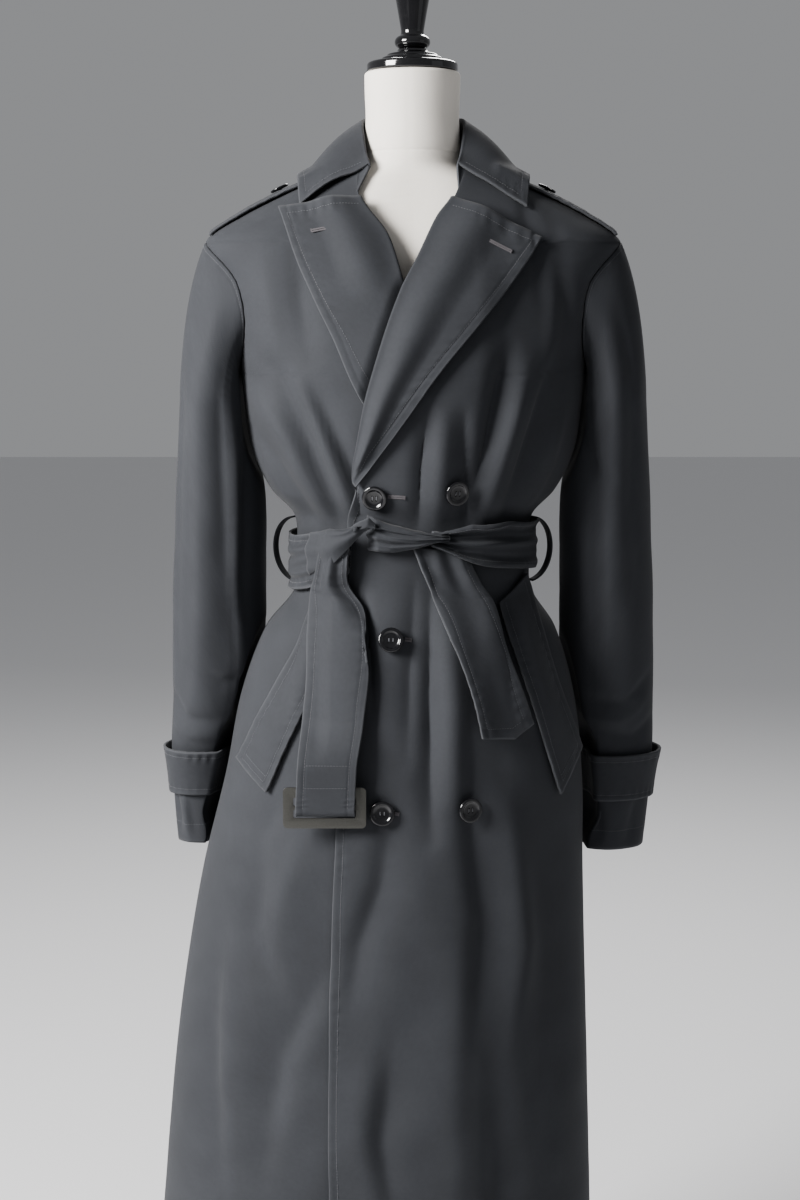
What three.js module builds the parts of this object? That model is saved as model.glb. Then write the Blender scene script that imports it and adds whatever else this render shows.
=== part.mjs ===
// A double-breasted, belted trench coat on a limbless dress form with a pole and a round base.
// Millimetres, +Z up, the coat's front faces -Y. "Left" and "right" are the wearer's: left is +X.
import * as THREE from 'three';
import { mergeVertices } from 'three/addons/utils/BufferGeometryUtils.js';

// ---------------------------------------------------------------- driving dimensions
const CLOTH = 2;              // thickness of one cloth wall
const STRAP = 3;              // thickness of a belt, strap or welt, two layers of cloth
const UNDERLAP = 4;           // how far the front underneath is drawn in below the overlap
const SEAM = 0.3;             // gap between two pieces that are sewn together
const LAYER = 1.6;            // gap between two layers that lie on each other
const HEM_Z = 290;
const NECK_Z = 1497;          // where the shoulder seam meets the neck
const SHOULDER_Z = 1412;      // tip of the shoulder
const UNDERARM_Z = 1268;
const ARMHOLE_DEPTH = 58;     // half the armhole's width, front to back
const SQUARENESS = 2.2;       // 2 is an ellipse, more is squarer
const OVERLAP_LIFT = 8;       // how far the overlapping front stands off the one under it
const BREAK_Z = 1154;         // where the lapels start to fold back
const HALF_TURN = Math.PI;
const SIDE = Math.PI / 2;     // girth angle of the side seam; 0 is the middle of the front

const COAT = { color: 0x4b4e55, roughness: 0.85, metalness: 0 };
const COAT_DARK = { color: 0x3c3e44, roughness: 0.88, metalness: 0 };
const FORM_CLOTH = { color: 0xebe6de, roughness: 0.8, metalness: 0 };
const BLACK_GLOSS = { color: 0x0a0a0a, roughness: 0.15, metalness: 0 };
const HORN = { color: 0x101012, roughness: 0.25, metalness: 0 };
const GUNMETAL = { color: 0x6b6a60, roughness: 0.4, metalness: 0.9 };
const POLE_STEEL = { color: 0x1b1b1c, roughness: 0.35, metalness: 0.7 };

// ---------------------------------------------------------------- tables of sections
// The coat's girth at each height: centre, half width, depth to the front and to the back.
const GIRTH = [
  { z: 290, centre: -42, half: 249, front: 182, back: 172 },
  { z: 490, centre: -36, half: 237, front: 172, back: 165 },
  { z: 610, centre: -30, half: 227, front: 168, back: 158 },
  { z: 715, centre: -22, half: 216, front: 166, back: 150 },
  { z: 820, centre: -10, half: 202, front: 162, back: 142 },
  { z: 910, centre: -6, half: 188, front: 154, back: 134 },
  { z: 985, centre: -3, half: 163, front: 142, back: 120 },
  { z: 1028, centre: 0, half: 133, front: 125, back: 105 },
  { z: 1070, centre: 0, half: 131, front: 123, back: 103 },
  { z: 1112, centre: 0, half: 133, front: 123, back: 103 },
  { z: 1140, centre: 0, half: 158, front: 131, back: 112 },
  { z: 1183, centre: 0, half: 179, front: 137, back: 118 },
  { z: 1240, centre: 0, half: 188, front: 140, back: 122 },
  { z: 1310, centre: 0, half: 196, front: 130, back: 120 },
  { z: 1365, centre: 0, half: 212, front: 110, back: 108 },
  { z: 1412, centre: 0, half: 229, front: 88, back: 92 },
  { z: 1440, centre: 0, half: 190, front: 76, back: 82 },
  { z: 1465, centre: 0, half: 141, front: 66, back: 75 },
  { z: 1483, centre: 0, half: 100, front: 61, back: 70 },
  { z: 1497, centre: 0, half: 68, front: 58, back: 66 },
];

// The rim of each front: the overlap's edge below the break, the fold of the lapel above it.
const LEFT_FRONT_RIM = [
  { z: 290, x: -91 }, { z: 600, x: -90 }, { z: 790, x: -82 }, { z: 1000, x: -74 }, { z: 1154, x: -64 },
  { z: 1235, x: -49 }, { z: 1285, x: -35 }, { z: 1355, x: -11 }, { z: 1388, x: 6 },
  { z: 1434, x: 27 }, { z: 1455, x: 42 }, { z: 1497, x: 60 },
];
const RIGHT_FRONT_RIM = [
  { z: 290, x: 62 }, { z: 1154, x: 64 }, { z: 1235, x: 45 }, { z: 1300, x: 20 }, { z: 1355, x: -9 },
  { z: 1415, x: -30 }, { z: 1455, x: -57 }, { z: 1497, x: -60 },
];
const LEFT_LAPEL_RIM = [
  { z: 1152, x: -59 }, { z: 1201, x: -24 }, { z: 1269, x: 27 }, { z: 1347, x: 90 }, { z: 1411, x: 137 },
];
const RIGHT_LAPEL_RIM = [
  { z: 1152, x: 55 }, { z: 1190, x: -6 }, { z: 1234, x: -49 }, { z: 1316, x: -88 }, { z: 1378, x: -119 },
  { z: 1442, x: -143 },
];

// The largest folds, each a straight run on the front or back. A trough has a negative depth.
const FOLDS = [
  { name: 'bodice_right_a', y: -1, x0: -140, z0: 1265, x1: -66, z1: 1100, depth: -7, width: 11 },
  { name: 'bodice_right_b', y: -1, x0: -160, z0: 1240, x1: -88, z1: 1110, depth: 6, width: 12 },
  { name: 'bodice_left_a', y: -1, x0: 98, z0: 1262, x1: 62, z1: 1122, depth: -8, width: 10 },
  { name: 'bodice_left_b', y: -1, x0: 120, z0: 1260, x1: 82, z1: 1115, depth: 6, width: 12 },
  { name: 'bodice_middle', y: -1, x0: 12, z0: 1225, x1: 4, z1: 1120, depth: -6, width: 9 },
  { name: 'skirt_middle', y: -1, x0: 18, z0: 1050, x1: 17, z1: 800, depth: -12, width: 15 },
  { name: 'skirt_ridge', y: -1, x0: 38, z0: 970, x1: 46, z1: 800, depth: 8, width: 14 },
  { name: 'skirt_left_long', y: -1, x0: 62, z0: 870, x1: 84, z1: 600, depth: -12, width: 17 },
  { name: 'skirt_left_hook', y: -1, x0: 84, z0: 700, x1: 64, z1: 545, depth: -9, width: 20 },
  { name: 'skirt_left_ridge', y: -1, x0: 100, z0: 740, x1: 92, z1: 560, depth: 8, width: 20 },
  { name: 'skirt_right_a', y: -1, x0: -135, z0: 820, x1: -180, z1: 640, depth: -10, width: 18 },
  { name: 'skirt_right_b', y: -1, x0: -212, z0: 690, x1: -220, z1: 420, depth: -9, width: 20 },
  { name: 'skirt_right_c', y: -1, x0: -92, z0: 650, x1: -165, z1: 430, depth: -9, width: 22 },
  { name: 'skirt_edge', y: -1, x0: -30, z0: 800, x1: -72, z1: 640, depth: -8, width: 18 },
  { name: 'back_middle', y: 1, x0: 4, z0: 1030, x1: -22, z1: 330, depth: -12, width: 24 },
  { name: 'back_left', y: 1, x0: 70, z0: 1030, x1: 96, z1: 380, depth: -10, width: 22 },
  { name: 'back_right', y: 1, x0: -66, z0: 1030, x1: -130, z1: 420, depth: -10, width: 22 },
  { name: 'back_ridge_left', y: 1, x0: 38, z0: 1000, x1: 40, z1: 330, depth: 8, width: 22 },
  { name: 'back_ridge_right', y: 1, x0: -34, z0: 1000, x1: -78, z1: 330, depth: 8, width: 22 },
  { name: 'back_bodice_left', y: 1, x0: 96, z0: 1260, x1: 52, z1: 1110, depth: -7, width: 13 },
  { name: 'back_bodice_right', y: 1, x0: -92, z0: 1250, x1: -56, z1: 1110, depth: -7, width: 13 },
];

// A sleeve's sections below the underarm: inner and outer side, middle and half depth.
const SLEEVE = [
  { z: 1240, inner: 176, outer: 260, middle: 4, depth: 66 },
  { z: 1127, inner: 166, outer: 267, middle: 14, depth: 66 },
  { z: 1014, inner: 167, outer: 273, middle: 24, depth: 62 },
  { z: 900, inner: 166, outer: 276, middle: 34, depth: 58 },
  { z: 839, inner: 172, outer: 277, middle: 38, depth: 56 },
  { z: 728, inner: 176, outer: 268, middle: 40, depth: 52 },
];

// ---------------------------------------------------------------- small mathematics
const clamp01 = (t) => Math.min(1, Math.max(0, t));
const smooth = (from, to, value) => {
  const t = clamp01((value - from) / (to - from));
  return t * t * (3 - 2 * t);
};
const mix = (a, b, t) => a + (b - a) * t;

// Reads a column of a table at a height, with a smooth curve through its rows.
function readTable(table, column, z) {
  const rising = table[0].z < table[table.length - 1].z;
  const rows = rising ? table : [...table].reverse();
  if (z <= rows[0].z) return rows[0][column];
  if (z >= rows[rows.length - 1].z) return rows[rows.length - 1][column];
  const i = rows.findIndex((row, k) => z <= rows[k + 1]?.z);
  const [p, q] = [rows[i], rows[i + 1]];
  const before = rows[i - 1] ?? p;
  const after = rows[i + 2] ?? q;
  const slopeAt = (a, b) => (b.z === a.z ? 0 : (b[column] - a[column]) / (b.z - a.z));
  const h = q.z - p.z;
  const t = (z - p.z) / h;
  const m0 = slopeAt(before, q) * h;
  const m1 = slopeAt(p, after) * h;
  const t2 = t * t;
  const t3 = t2 * t;
  return (2 * t3 - 3 * t2 + 1) * p[column] + (t3 - 2 * t2 + t) * m0
    + (-2 * t3 + 3 * t2) * q[column] + (t3 - t2) * m1;
}

// ---------------------------------------------------------------- closed solids from grids
// Joins an outer and an inner grid of points into one closed wall with its four rims.
function wallGeometry(outer, inner, closedU) {
  const rows = outer.length;
  const cols = outer[0].length;
  const positions = [...outer.flat(), ...inner.flat()].flatMap((p) => [p.x, p.y, p.z]);
  const at = (layer, i, j) => layer * rows * cols + i * cols + (j % cols);
  const index = [];
  const quad = (a, b, c, d) => index.push(a, b, c, a, c, d);
  const spans = closedU ? cols : cols - 1;
  for (let i = 0; i < rows - 1; i += 1) {
    for (let j = 0; j < spans; j += 1) {
      quad(at(0, i, j), at(0, i, j + 1), at(0, i + 1, j + 1), at(0, i + 1, j));
      quad(at(1, i, j), at(1, i + 1, j), at(1, i + 1, j + 1), at(1, i, j + 1));
    }
  }
  for (let j = 0; j < spans; j += 1) {
    quad(at(0, 0, j), at(1, 0, j), at(1, 0, j + 1), at(0, 0, j + 1));
    quad(at(0, rows - 1, j), at(0, rows - 1, j + 1), at(1, rows - 1, j + 1), at(1, rows - 1, j));
  }
  if (!closedU) {
    for (let i = 0; i < rows - 1; i += 1) {
      quad(at(0, i, 0), at(0, i + 1, 0), at(1, i + 1, 0), at(1, i, 0));
      quad(at(0, i, cols - 1), at(1, i, cols - 1), at(1, i + 1, cols - 1), at(0, i + 1, cols - 1));
    }
  }
  return closedGeometry(positions, index);
}

// Builds the geometry and turns every face outwards.
function closedGeometry(positions, index) {
  let volume = 0;
  const point = (k) => new THREE.Vector3().fromArray(positions, 3 * index[k]);
  for (let k = 0; k < index.length; k += 3) {
    volume += point(k).dot(point(k + 1).cross(point(k + 2))) / 6;
  }
  if (volume < 0) {
    for (let k = 0; k < index.length; k += 3) {
      [index[k + 1], index[k + 2]] = [index[k + 2], index[k + 1]];
    }
  }
  const geometry = new THREE.BufferGeometry();
  geometry.setAttribute('position', new THREE.Float32BufferAttribute(positions, 3));
  geometry.setIndex(index);
  return geometry;
}

// The direction out of a surface given by surface(u, v).
function normalOf(surface, u, v) {
  const step = 1e-3;
  const du = surface(u + step, v).sub(surface(u - step, v));
  const dv = surface(u, v + step).sub(surface(u, v - step));
  return du.cross(dv).normalize();
}

// A cloth wall of a given thickness whose outer face is surface(u, v), u and v from 0 to 1.
function clothWall(surface, { columns, rows, thickness = CLOTH, closedU = false, outward = 1 }) {
  const us = Array.isArray(columns) ? columns : spread(columns, closedU);
  const vs = Array.isArray(rows) ? rows : spread(rows, false);
  const outer = vs.map((v) => us.map((u) => surface(u, v)));
  const inner = vs.map((v, i) => us.map((u, j) => (
    outer[i][j].clone().addScaledVector(normalOf(surface, u, v), -outward * thickness))));
  return wallGeometry(outer, inner, closedU);
}

const spread = (count, closed) => Array.from({ length: closed ? count : count + 1 }, (_, k) => k / count);

// ---------------------------------------------------------------- the coat's body surface
function girthPoint(angle, z, inset = 0) {
  const half = readTable(GIRTH, 'half', z) - inset;
  const front = readTable(GIRTH, 'front', z) - inset;
  const back = readTable(GIRTH, 'back', z) - inset;
  const s = Math.sin(angle);
  const c = Math.cos(angle);
  const k = (Math.abs(s) ** SQUARENESS + Math.abs(c) ** SQUARENESS) ** (-1 / SQUARENESS);
  const x = readTable(GIRTH, 'centre', z) + half * k * s;
  return new THREE.Vector3(x, -(c > 0 ? front : back) * k * c, z);
}

// How far the folds move the cloth out of its plain section.
function foldDepth(x, z, side) {
  let total = 0;
  for (const fold of FOLDS) {
    if (fold.y !== side) continue;
    const dx = fold.x1 - fold.x0;
    const dz = fold.z1 - fold.z0;
    const along = ((x - fold.x0) * dx + (z - fold.z0) * dz) / (dx * dx + dz * dz);
    const across = Math.hypot(x - fold.x0 - clamp01(along) * dx, z - fold.z0 - clamp01(along) * dz);
    const fade = Math.sin(HALF_TURN * clamp01(0.08 + 0.84 * clamp01(along)));
    total += fold.depth * fade * Math.exp(-((across / fold.width) ** 2));
  }
  return total;
}

function foldedPoint(angle, z) {
  const p = girthPoint(angle, z);
  const side = Math.cos(angle) > 0 ? -1 : 1;
  const nearSide = smooth(0, 0.35, Math.abs(Math.cos(angle)));
  const out = new THREE.Vector3(p.x - readTable(GIRTH, 'centre', z), p.y, 0).normalize();
  return p.addScaledVector(out, foldDepth(p.x, z, side) * nearSide);
}

// A point on the coat, moved out by a lift along the surface's own direction.
function skin(angle, z, lift = 0) {
  const normal = normalOf((a, h) => foldedPoint(a * SIDE, h * NECK_Z), angle / SIDE, z / NECK_Z);
  return foldedPoint(angle, z).addScaledVector(normal, lift);
}

// The girth angle at which the front has a given x.
function frontAngle(x, z) {
  let low = -SIDE;
  let high = SIDE;
  for (let k = 0; k < 40; k += 1) {
    const middle = (low + high) / 2;
    if (girthPoint(middle, z).x < x) low = middle;
    else high = middle;
  }
  return (low + high) / 2;
}

// The lift of the overlapping front; anything that crosses its rim follows it there too.
function overlapLift(x, z, crossesRim) {
  const far = 1 - smooth(66, 100, x);
  const high = 1 - smooth(1365, 1435, z);
  const rim = readTable(LEFT_FRONT_RIM, 'x', z);
  const near = crossesRim ? smooth(rim - 26, rim - 6, x) : 1;
  return OVERLAP_LIFT * far * high * near;
}

// How far the front underneath, and its lapel, are drawn in where the other front covers them.
function underlap(x, z) {
  const rim = readTable(LEFT_FRONT_RIM, 'x', z);
  return UNDERLAP * smooth(rim - 5, rim + 30, x) * (1 - smooth(1345, 1400, z));
}

const onFront = (x, z, lift, crossesRim = true) => (
  skin(frontAngle(x, z), z, lift + overlapLift(x, z, crossesRim)));

// ---------------------------------------------------------------- fronts and back
const ARMHOLE_MIDDLE = (SHOULDER_Z + UNDERARM_Z) / 2;
const ARMHOLE_HALF = (SHOULDER_Z - UNDERARM_Z) / 2;
const ARMHOLE_STEPS = 6;
const armholeHeights = Array.from({ length: ARMHOLE_STEPS + 1 }, (_, k) => (
  ARMHOLE_MIDDLE - ARMHOLE_HALF * Math.cos((k * HALF_TURN) / ARMHOLE_STEPS)));

// The girth angle of the side seam, the armhole or the shoulder seam; facing is -1 front, 1 back.
function sideAngle(z, facing) {
  if (z <= UNDERARM_Z || z >= SHOULDER_Z) return SIDE;
  const round = (z - ARMHOLE_MIDDLE) / ARMHOLE_HALF;
  const depth = ARMHOLE_DEPTH * Math.sqrt(Math.max(0, 1 - round * round));
  let nearSeam = SIDE;
  let nearMiddle = facing < 0 ? 0 : HALF_TURN;
  for (let k = 0; k < 40; k += 1) {
    const middle = (nearSeam + nearMiddle) / 2;
    if (Math.abs(girthPoint(middle, z).y) < depth) nearSeam = middle;
    else nearMiddle = middle;
  }
  return (nearSeam + nearMiddle) / 2;
}

const bodyHeights = [
  HEM_Z, 370, 450, 530, 610, 690, 770, 850, 920, 985, 1028, 1070, 1112, 1128, 1145, 1180, 1225,
  ...armholeHeights, 1430, 1448, 1465, 1482, NECK_Z,
];
const bodyRows = bodyHeights.map((z) => z / NECK_Z);
const FRONT_COLUMNS = 12;
const BACK_COLUMNS = 14;
const seamAngle = (z) => (SEAM / 2 + 0.05) / readTable(GIRTH, 'front', z);

function frontPanel(rim, left) {
  const sign = left ? 1 : -1;
  const surface = (u, v) => {
    const z = v * NECK_Z;
    const from = frontAngle(readTable(rim, 'x', z), z);
    const angle = mix(from, sign * (sideAngle(z, -1) - seamAngle(z)), u);
    const x = girthPoint(angle, z).x;
    return skin(angle, z, left ? overlapLift(x, z, false) : -underlap(x, z));
  };
  return clothWall(surface, { columns: FRONT_COLUMNS, rows: bodyRows, outward: sign });
}

function backPanel() {
  const surface = (u, v) => {
    const z = v * NECK_Z;
    const from = sideAngle(z, 1) + seamAngle(z);
    return skin(mix(from, 2 * HALF_TURN - from, u), z);
  };
  return clothWall(surface, { columns: BACK_COLUMNS, rows: bodyRows });
}

// ---------------------------------------------------------------- lapels
const LAPEL_ROLL = 5;         // how far the fold of a lapel swells
function lapel(rim, edge, left) {
  const sign = left ? 1 : -1;
  const foldTop = 1455;
  const edgeTop = edge[edge.length - 1].z;
  const surface = (u, v) => {
    const zFold = mix(foldTop, BREAK_Z + 3, v);
    const zEdge = mix(edgeTop, BREAK_Z - 1, v);
    const x = mix(readTable(rim, 'x', zFold) + sign * 0.8, readTable(edge, 'x', zEdge), u);
    const z = mix(zFold, zEdge, u);
    const roll = LAPEL_ROLL * Math.sin(HALF_TURN * clamp01(u * 2.2)) * (left ? 1 : smooth(1345, 1395, z));
    const lift = CLOTH + mix(1.4, 3.4, clamp01(u * 5)) + roll;
    return left ? onFront(x, z, lift, false) : skin(frontAngle(x, z), z, lift - underlap(x, z));
  };
  return clothWall(surface, { columns: [0, 0.12, 0.25, 0.45, 0.72, 1], rows: 9, outward: -sign });
}

// ---------------------------------------------------------------- sleeves and cuff straps
const CAP_SHARE = 0.22;       // the part of the sleeve's length above its first straight section
const CUFF_TOP = 839;
const CUFF_BOTTOM = 786;
const CUFF_GAP = { left: 2.0, right: 3.7 };   // between a cuff strap and its sleeve
const SLEEVE_HEM = 728;
const SLEEVE_START = 0.7;     // the sleeve starts this far outside the armhole's rim

// How far out the coat's own side reaches at a given depth, on the side given by sign.
function coatSide(y, z, sign) {
  const depth = readTable(GIRTH, y < 0 ? 'front' : 'back', z);
  const share = 1 - Math.min(1, Math.abs(y) / depth) ** SQUARENESS;
  return sign * readTable(GIRTH, 'centre', z) + readTable(GIRTH, 'half', z) * share ** (1 / SQUARENESS);
}

// A straight section of the sleeve; turn is 0 on the outside and a quarter turn at the front.
function sleeveSection(turn, z, sign) {
  const inner = readTable(SLEEVE, 'inner', z);
  const outer = readTable(SLEEVE, 'outer', z);
  const behind = sign < 0 ? 34 * (1 - smooth(780, 1000, z)) : 0;
  const y = readTable(SLEEVE, 'middle', z) + behind - readTable(SLEEVE, 'depth', z) * Math.sin(turn);
  const turnedOut = sign < 0 ? 22 * (1 - smooth(780, 960, z)) * Math.sin(turn) : 0;
  const free = (inner + outer) / 2 + ((outer - inner) / 2) * Math.cos(turn) + turnedOut;
  const clearance = 5 + 12 * smooth(735, 770, z) * (1 - smooth(850, 890, z));
  return new THREE.Vector3(sign * Math.max(free, coatSide(y, z, sign) + clearance), y, z);
}

function armholePoint(turn, sign) {
  const z = ARMHOLE_MIDDLE + ARMHOLE_HALF * Math.cos(turn);
  const angle = sign * sideAngle(z, Math.sin(turn) >= 0 ? -1 : 1);
  return foldedPoint(angle, z).add(new THREE.Vector3(sign * SLEEVE_START, 0, 0));
}

function sleevePoint(turn, v, sign) {
  const firstZ = SLEEVE[0].z;
  if (v >= CAP_SHARE) {
    return sleeveSection(turn, mix(firstZ, SLEEVE_HEM, (v - CAP_SHARE) / (1 - CAP_SHARE)), sign);
  }
  const t = v / CAP_SHARE;
  const start = armholePoint(turn, sign);
  const end = sleeveSection(turn, firstZ, sign);
  const reach = start.distanceTo(end);
  const out = mix(0.42, 0.8, Math.sin(turn) ** 2);
  const leave = new THREE.Vector3(sign * out, 0, -Math.sqrt(1 - out * out)).multiplyScalar(0.7 * reach);
  const arrive = new THREE.Vector3(0, 0, -0.9 * reach);
  const t2 = t * t;
  const t3 = t2 * t;
  return start.multiplyScalar(2 * t3 - 3 * t2 + 1).addScaledVector(leave, t3 - 2 * t2 + t)
    .addScaledVector(end, 3 * t2 - 2 * t3).addScaledVector(arrive, t3 - t2);
}

const sleeveRows = [0, 0.05, 0.1, 0.16, 0.22, 0.3, 0.38, 0.46, 0.54, 0.63, 0.72, 0.8, 0.87, 0.93, 1];
function sleevePiece(sign, top) {
  const from = top ? -SIDE : SIDE;
  const trim = 0.004;
  const surface = (u, v) => sleevePoint(mix(from + trim, from + HALF_TURN - trim, u), v, sign);
  return clothWall(surface, { columns: ARMHOLE_STEPS, rows: sleeveRows, outward: sign });
}

function cuffStrap(sign) {
  const gap = sign > 0 ? CUFF_GAP.left : CUFF_GAP.right;
  const surface = (u, v) => {
    const z = mix(CUFF_TOP, CUFF_BOTTOM, v);
    const turn = u * 2 * HALF_TURN;
    const normal = normalOf((a, h) => sleeveSection(a, -h, sign), turn, -z).multiplyScalar(sign);
    const flare = 4 * (1 - v) ** 2;
    return sleeveSection(turn, z, sign).addScaledVector(normal, STRAP + gap + flare);
  };
  const columns = 2 * ARMHOLE_STEPS;
  return clothWall(surface, { columns, rows: 3, thickness: STRAP, closedU: true, outward: sign });
}

// ---------------------------------------------------------------- collar
// From the middle of the back to the front end: where the collar folds and where its edge lies.
const COLLAR = [
  { z: 0, foldX: 0, foldY: 61, foldZ: 1548, edgeX: 0, edgeY: 96, edgeZ: 1490 },
  { z: 0.35, foldX: 43, foldY: 44, foldZ: 1548, edgeX: 80, edgeY: 74, edgeZ: 1480 },
  { z: 0.62, foldX: 57.5, foldY: 8, foldZ: 1545, edgeX: 119, edgeY: 22, edgeZ: 1478 },
  { z: 0.82, foldX: 57, foldY: -22, foldZ: 1526, edgeX: 127, edgeY: -20, edgeZ: 1470 },
  { z: 1, foldX: 50, foldY: -52, foldZ: 1484, edgeX: 123, edgeY: -60, edgeZ: 1450 },
];
const COLLAR_DROP = 14;       // the left tip hangs lower than the right one

// The height of the coat's shoulder over a point of the ground plan.
function shoulderHeight(x, y) {
  for (let z = NECK_Z; z > UNDERARM_Z; z -= 1) {
    const depth = readTable(GIRTH, y < 0 ? 'front' : 'back', z);
    const across = Math.abs(x) / readTable(GIRTH, 'half', z);
    const along = Math.abs(y) / depth;
    if (across ** SQUARENESS + along ** SQUARENESS <= 1) return z;
  }
  return UNDERARM_Z;
}

function collarPoint(along, across) {
  const s = Math.abs(along);
  const sign = Math.sign(along) || 1;
  const read = (column) => readTable(COLLAR, column, s);
  const fold = new THREE.Vector3(sign * read('foldX'), read('foldY'), read('foldZ'));
  const drop = along > 0 ? COLLAR_DROP * smooth(0.7, 1, s) : 0;
  const edge = new THREE.Vector3(sign * read('edgeX'), read('edgeY'), read('edgeZ') - drop);
  const point = fold.lerp(edge, across);
  point.z += 10 * Math.sin(HALF_TURN * clamp01(across));
  const overStrap = 9 * smooth(75, 95, Math.abs(point.x)) * (1 - smooth(36, 52, Math.abs(point.y)));
  point.z = Math.max(point.z, shoulderHeight(point.x, point.y) + 6 + overStrap);
  return point;
}

function collarLeaf() {
  const surface = (u, v) => collarPoint(mix(-1, 1, u), v);
  return clothWall(surface, { columns: 20, rows: [0, 0.15, 0.35, 0.65, 1], thickness: CLOTH + 0.5 });
}

const STAND_TURN = 0.72;      // share of the stand that follows the neck seam behind the fronts
function collarStand() {
  const surface = (u, v) => {
    const along = mix(-1, 1, u);
    const s = Math.abs(along);
    const sign = Math.sign(along) || 1;
    const angle = sign * mix(HALF_TURN, 1.2, Math.min(1, s / STAND_TURN));
    const bottom = girthPoint(angle, NECK_Z, 1.5).add(new THREE.Vector3(0, 0, 1));
    const z = mix(NECK_Z + 2, 1458, smooth(STAND_TURN + 0.08, 1, s));
    const rim = readTable(sign > 0 ? LEFT_FRONT_RIM : RIGHT_FRONT_RIM, 'x', z);
    const front = skin(frontAngle(rim - sign * 6, z), z, -2);
    bottom.lerp(front, smooth(STAND_TURN - 0.02, STAND_TURN + 0.12, s));
    const fold = collarPoint(along, 0).add(new THREE.Vector3(0, 0, -4.2));
    fold.x -= sign * 1.6 * Math.min(1, s * 3);
    fold.y -= 1.6 * (1 - smooth(0.3, 0.6, s));
    return bottom.lerp(fold, v);
  };
  return clothWall(surface, { columns: 20, rows: 2, outward: -1 });
}

// ---------------------------------------------------------------- epaulettes
const EPAULETTE = {
  innerX: 95, outerX: 221, halfInner: 26, halfOuter: 21, gap: 1, buttonX: 144, buttonSeat: 2,
};

// A point on the shoulder over a place in the ground plan, moved out by a lift.
function onShoulder(x, y, lift) {
  const share = (z) => {
    const depth = readTable(GIRTH, y < 0 ? 'front' : 'back', z);
    return { across: x / readTable(GIRTH, 'half', z), along: y / depth };
  };
  let low = UNDERARM_Z + 40;
  let high = NECK_Z;
  for (let k = 0; k < 30; k += 1) {
    const middle = (low + high) / 2;
    const { across, along } = share(middle);
    if (Math.abs(across) ** SQUARENESS + Math.abs(along) ** SQUARENESS <= 1) low = middle;
    else high = middle;
  }
  const { across, along } = share(low);
  return skin(Math.atan2(across, -along), low, lift);
}

const epauletteLift = (v) => STRAP + EPAULETTE.gap + 1.5 * Math.sin(HALF_TURN * v);
function epaulette(sign) {
  const surface = (u, v) => {
    const x = mix(EPAULETTE.innerX, EPAULETTE.outerX, v);
    const y = mix(-1, 1, u) * mix(EPAULETTE.halfInner, EPAULETTE.halfOuter, v);
    return onShoulder(sign * x, y, epauletteLift(v));
  };
  return clothWall(surface, { columns: 4, rows: 7, thickness: STRAP, outward: -sign });
}

// ---------------------------------------------------------------- pocket welts
const WELTS = {
  left: { topIn: [90, 1022], topOut: [121, 1050], endIn: [158, 812], endOut: [183, 855] },
  right: { topIn: [-72, 1002], topOut: [-104, 1024], endIn: [-158, 818], endOut: [-191, 847] },
};
function pocketWelt({ topIn, topOut, endIn, endOut }, sign) {
  const surface = (u, v) => {
    const x = mix(mix(topIn[0], topOut[0], u), mix(endIn[0], endOut[0], u), v);
    const z = mix(mix(topIn[1], topOut[1], u), mix(endIn[1], endOut[1], u), v);
    return onFront(x, z, STRAP + 1.6 * LAYER);
  };
  return clothWall(surface, { columns: 3, rows: 8, thickness: STRAP, outward: -sign });
}

// ---------------------------------------------------------------- belt
const BELT = [
  { z: 0, middle: 1088, width: 44 }, { z: 0.15, middle: 1085, width: 54 },
  { z: 0.5, middle: 1069, width: 62 },
  { z: 0.85, middle: 1060, width: 62 }, { z: 1, middle: 1078, width: 40 },
];
const BELT_START_X = 18;
const BELT_END_X = -64;
function beltWaist() {
  const surface = (u, v) => {
    const height = readTable(BELT, 'middle', u) + (v - 0.5) * readTable(BELT, 'width', u);
    const from = frontAngle(BELT_START_X, height);
    const to = frontAngle(BELT_END_X, height) + 2 * HALF_TURN;
    const angle = mix(from, to, u);
    const inFront = Math.cos(angle) > 0;
    const lift = inFront ? overlapLift(girthPoint(angle, height).x, height, true) : 0;
    return skin(angle, height, STRAP + 2 * LAYER + lift);
  };
  return clothWall(surface, { columns: 30, rows: 3, thickness: STRAP });
}

const KNOT = { x: -62, z: 1100, halfWidth: 21, halfDepth: 12, halfHeight: 26, lift: 20 };
function beltKnot() {
  const geometry = mergeVertices(strip(new THREE.SphereGeometry(1, 16, 10)));
  geometry.scale(KNOT.halfWidth, KNOT.halfDepth, KNOT.halfHeight);
  const centre = onFront(KNOT.x, KNOT.z, KNOT.lift);
  geometry.rotateY(0.25);
  geometry.translate(centre.x, centre.y, centre.z);
  return geometry;
}

function strip(geometry) {
  geometry.deleteAttribute('normal');
  geometry.deleteAttribute('uv');
  return geometry;
}

const TWIST = { startX: -38, endX: 46, startZ: 1106, endZ: 1086, startWidth: 34, endWidth: 26 };
function beltTwist() {
  const surface = (u, v) => {
    const x = mix(TWIST.startX, TWIST.endX, u);
    const width = mix(TWIST.startWidth, TWIST.endWidth, u);
    const z = mix(TWIST.startZ, TWIST.endZ, u) + (v - 0.5) * width;
    return onFront(x, z, 2 * STRAP + 2 * LAYER + 4 * Math.sin(HALF_TURN * v));
  };
  return clothWall(surface, { columns: 8, rows: 4, thickness: STRAP });
}

// The buckle's own axes: its middle lies off the coat, its plane follows the coat there.
const BUCKLE = {
  x: -88, z: 812, lift: 17, width: 88, height: 44, bar: 11, middleBar: 4, thickness: 2.5, corner: 5,
};
const buckleMiddle = onFront(BUCKLE.x, BUCKLE.z, BUCKLE.lift);
const buckleAcross = new THREE.Vector3(1, 0, 0);
const buckleOut = new THREE.Vector3(0, -1, 0);
const buckleDown = new THREE.Vector3(0, 0, -1);

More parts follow.
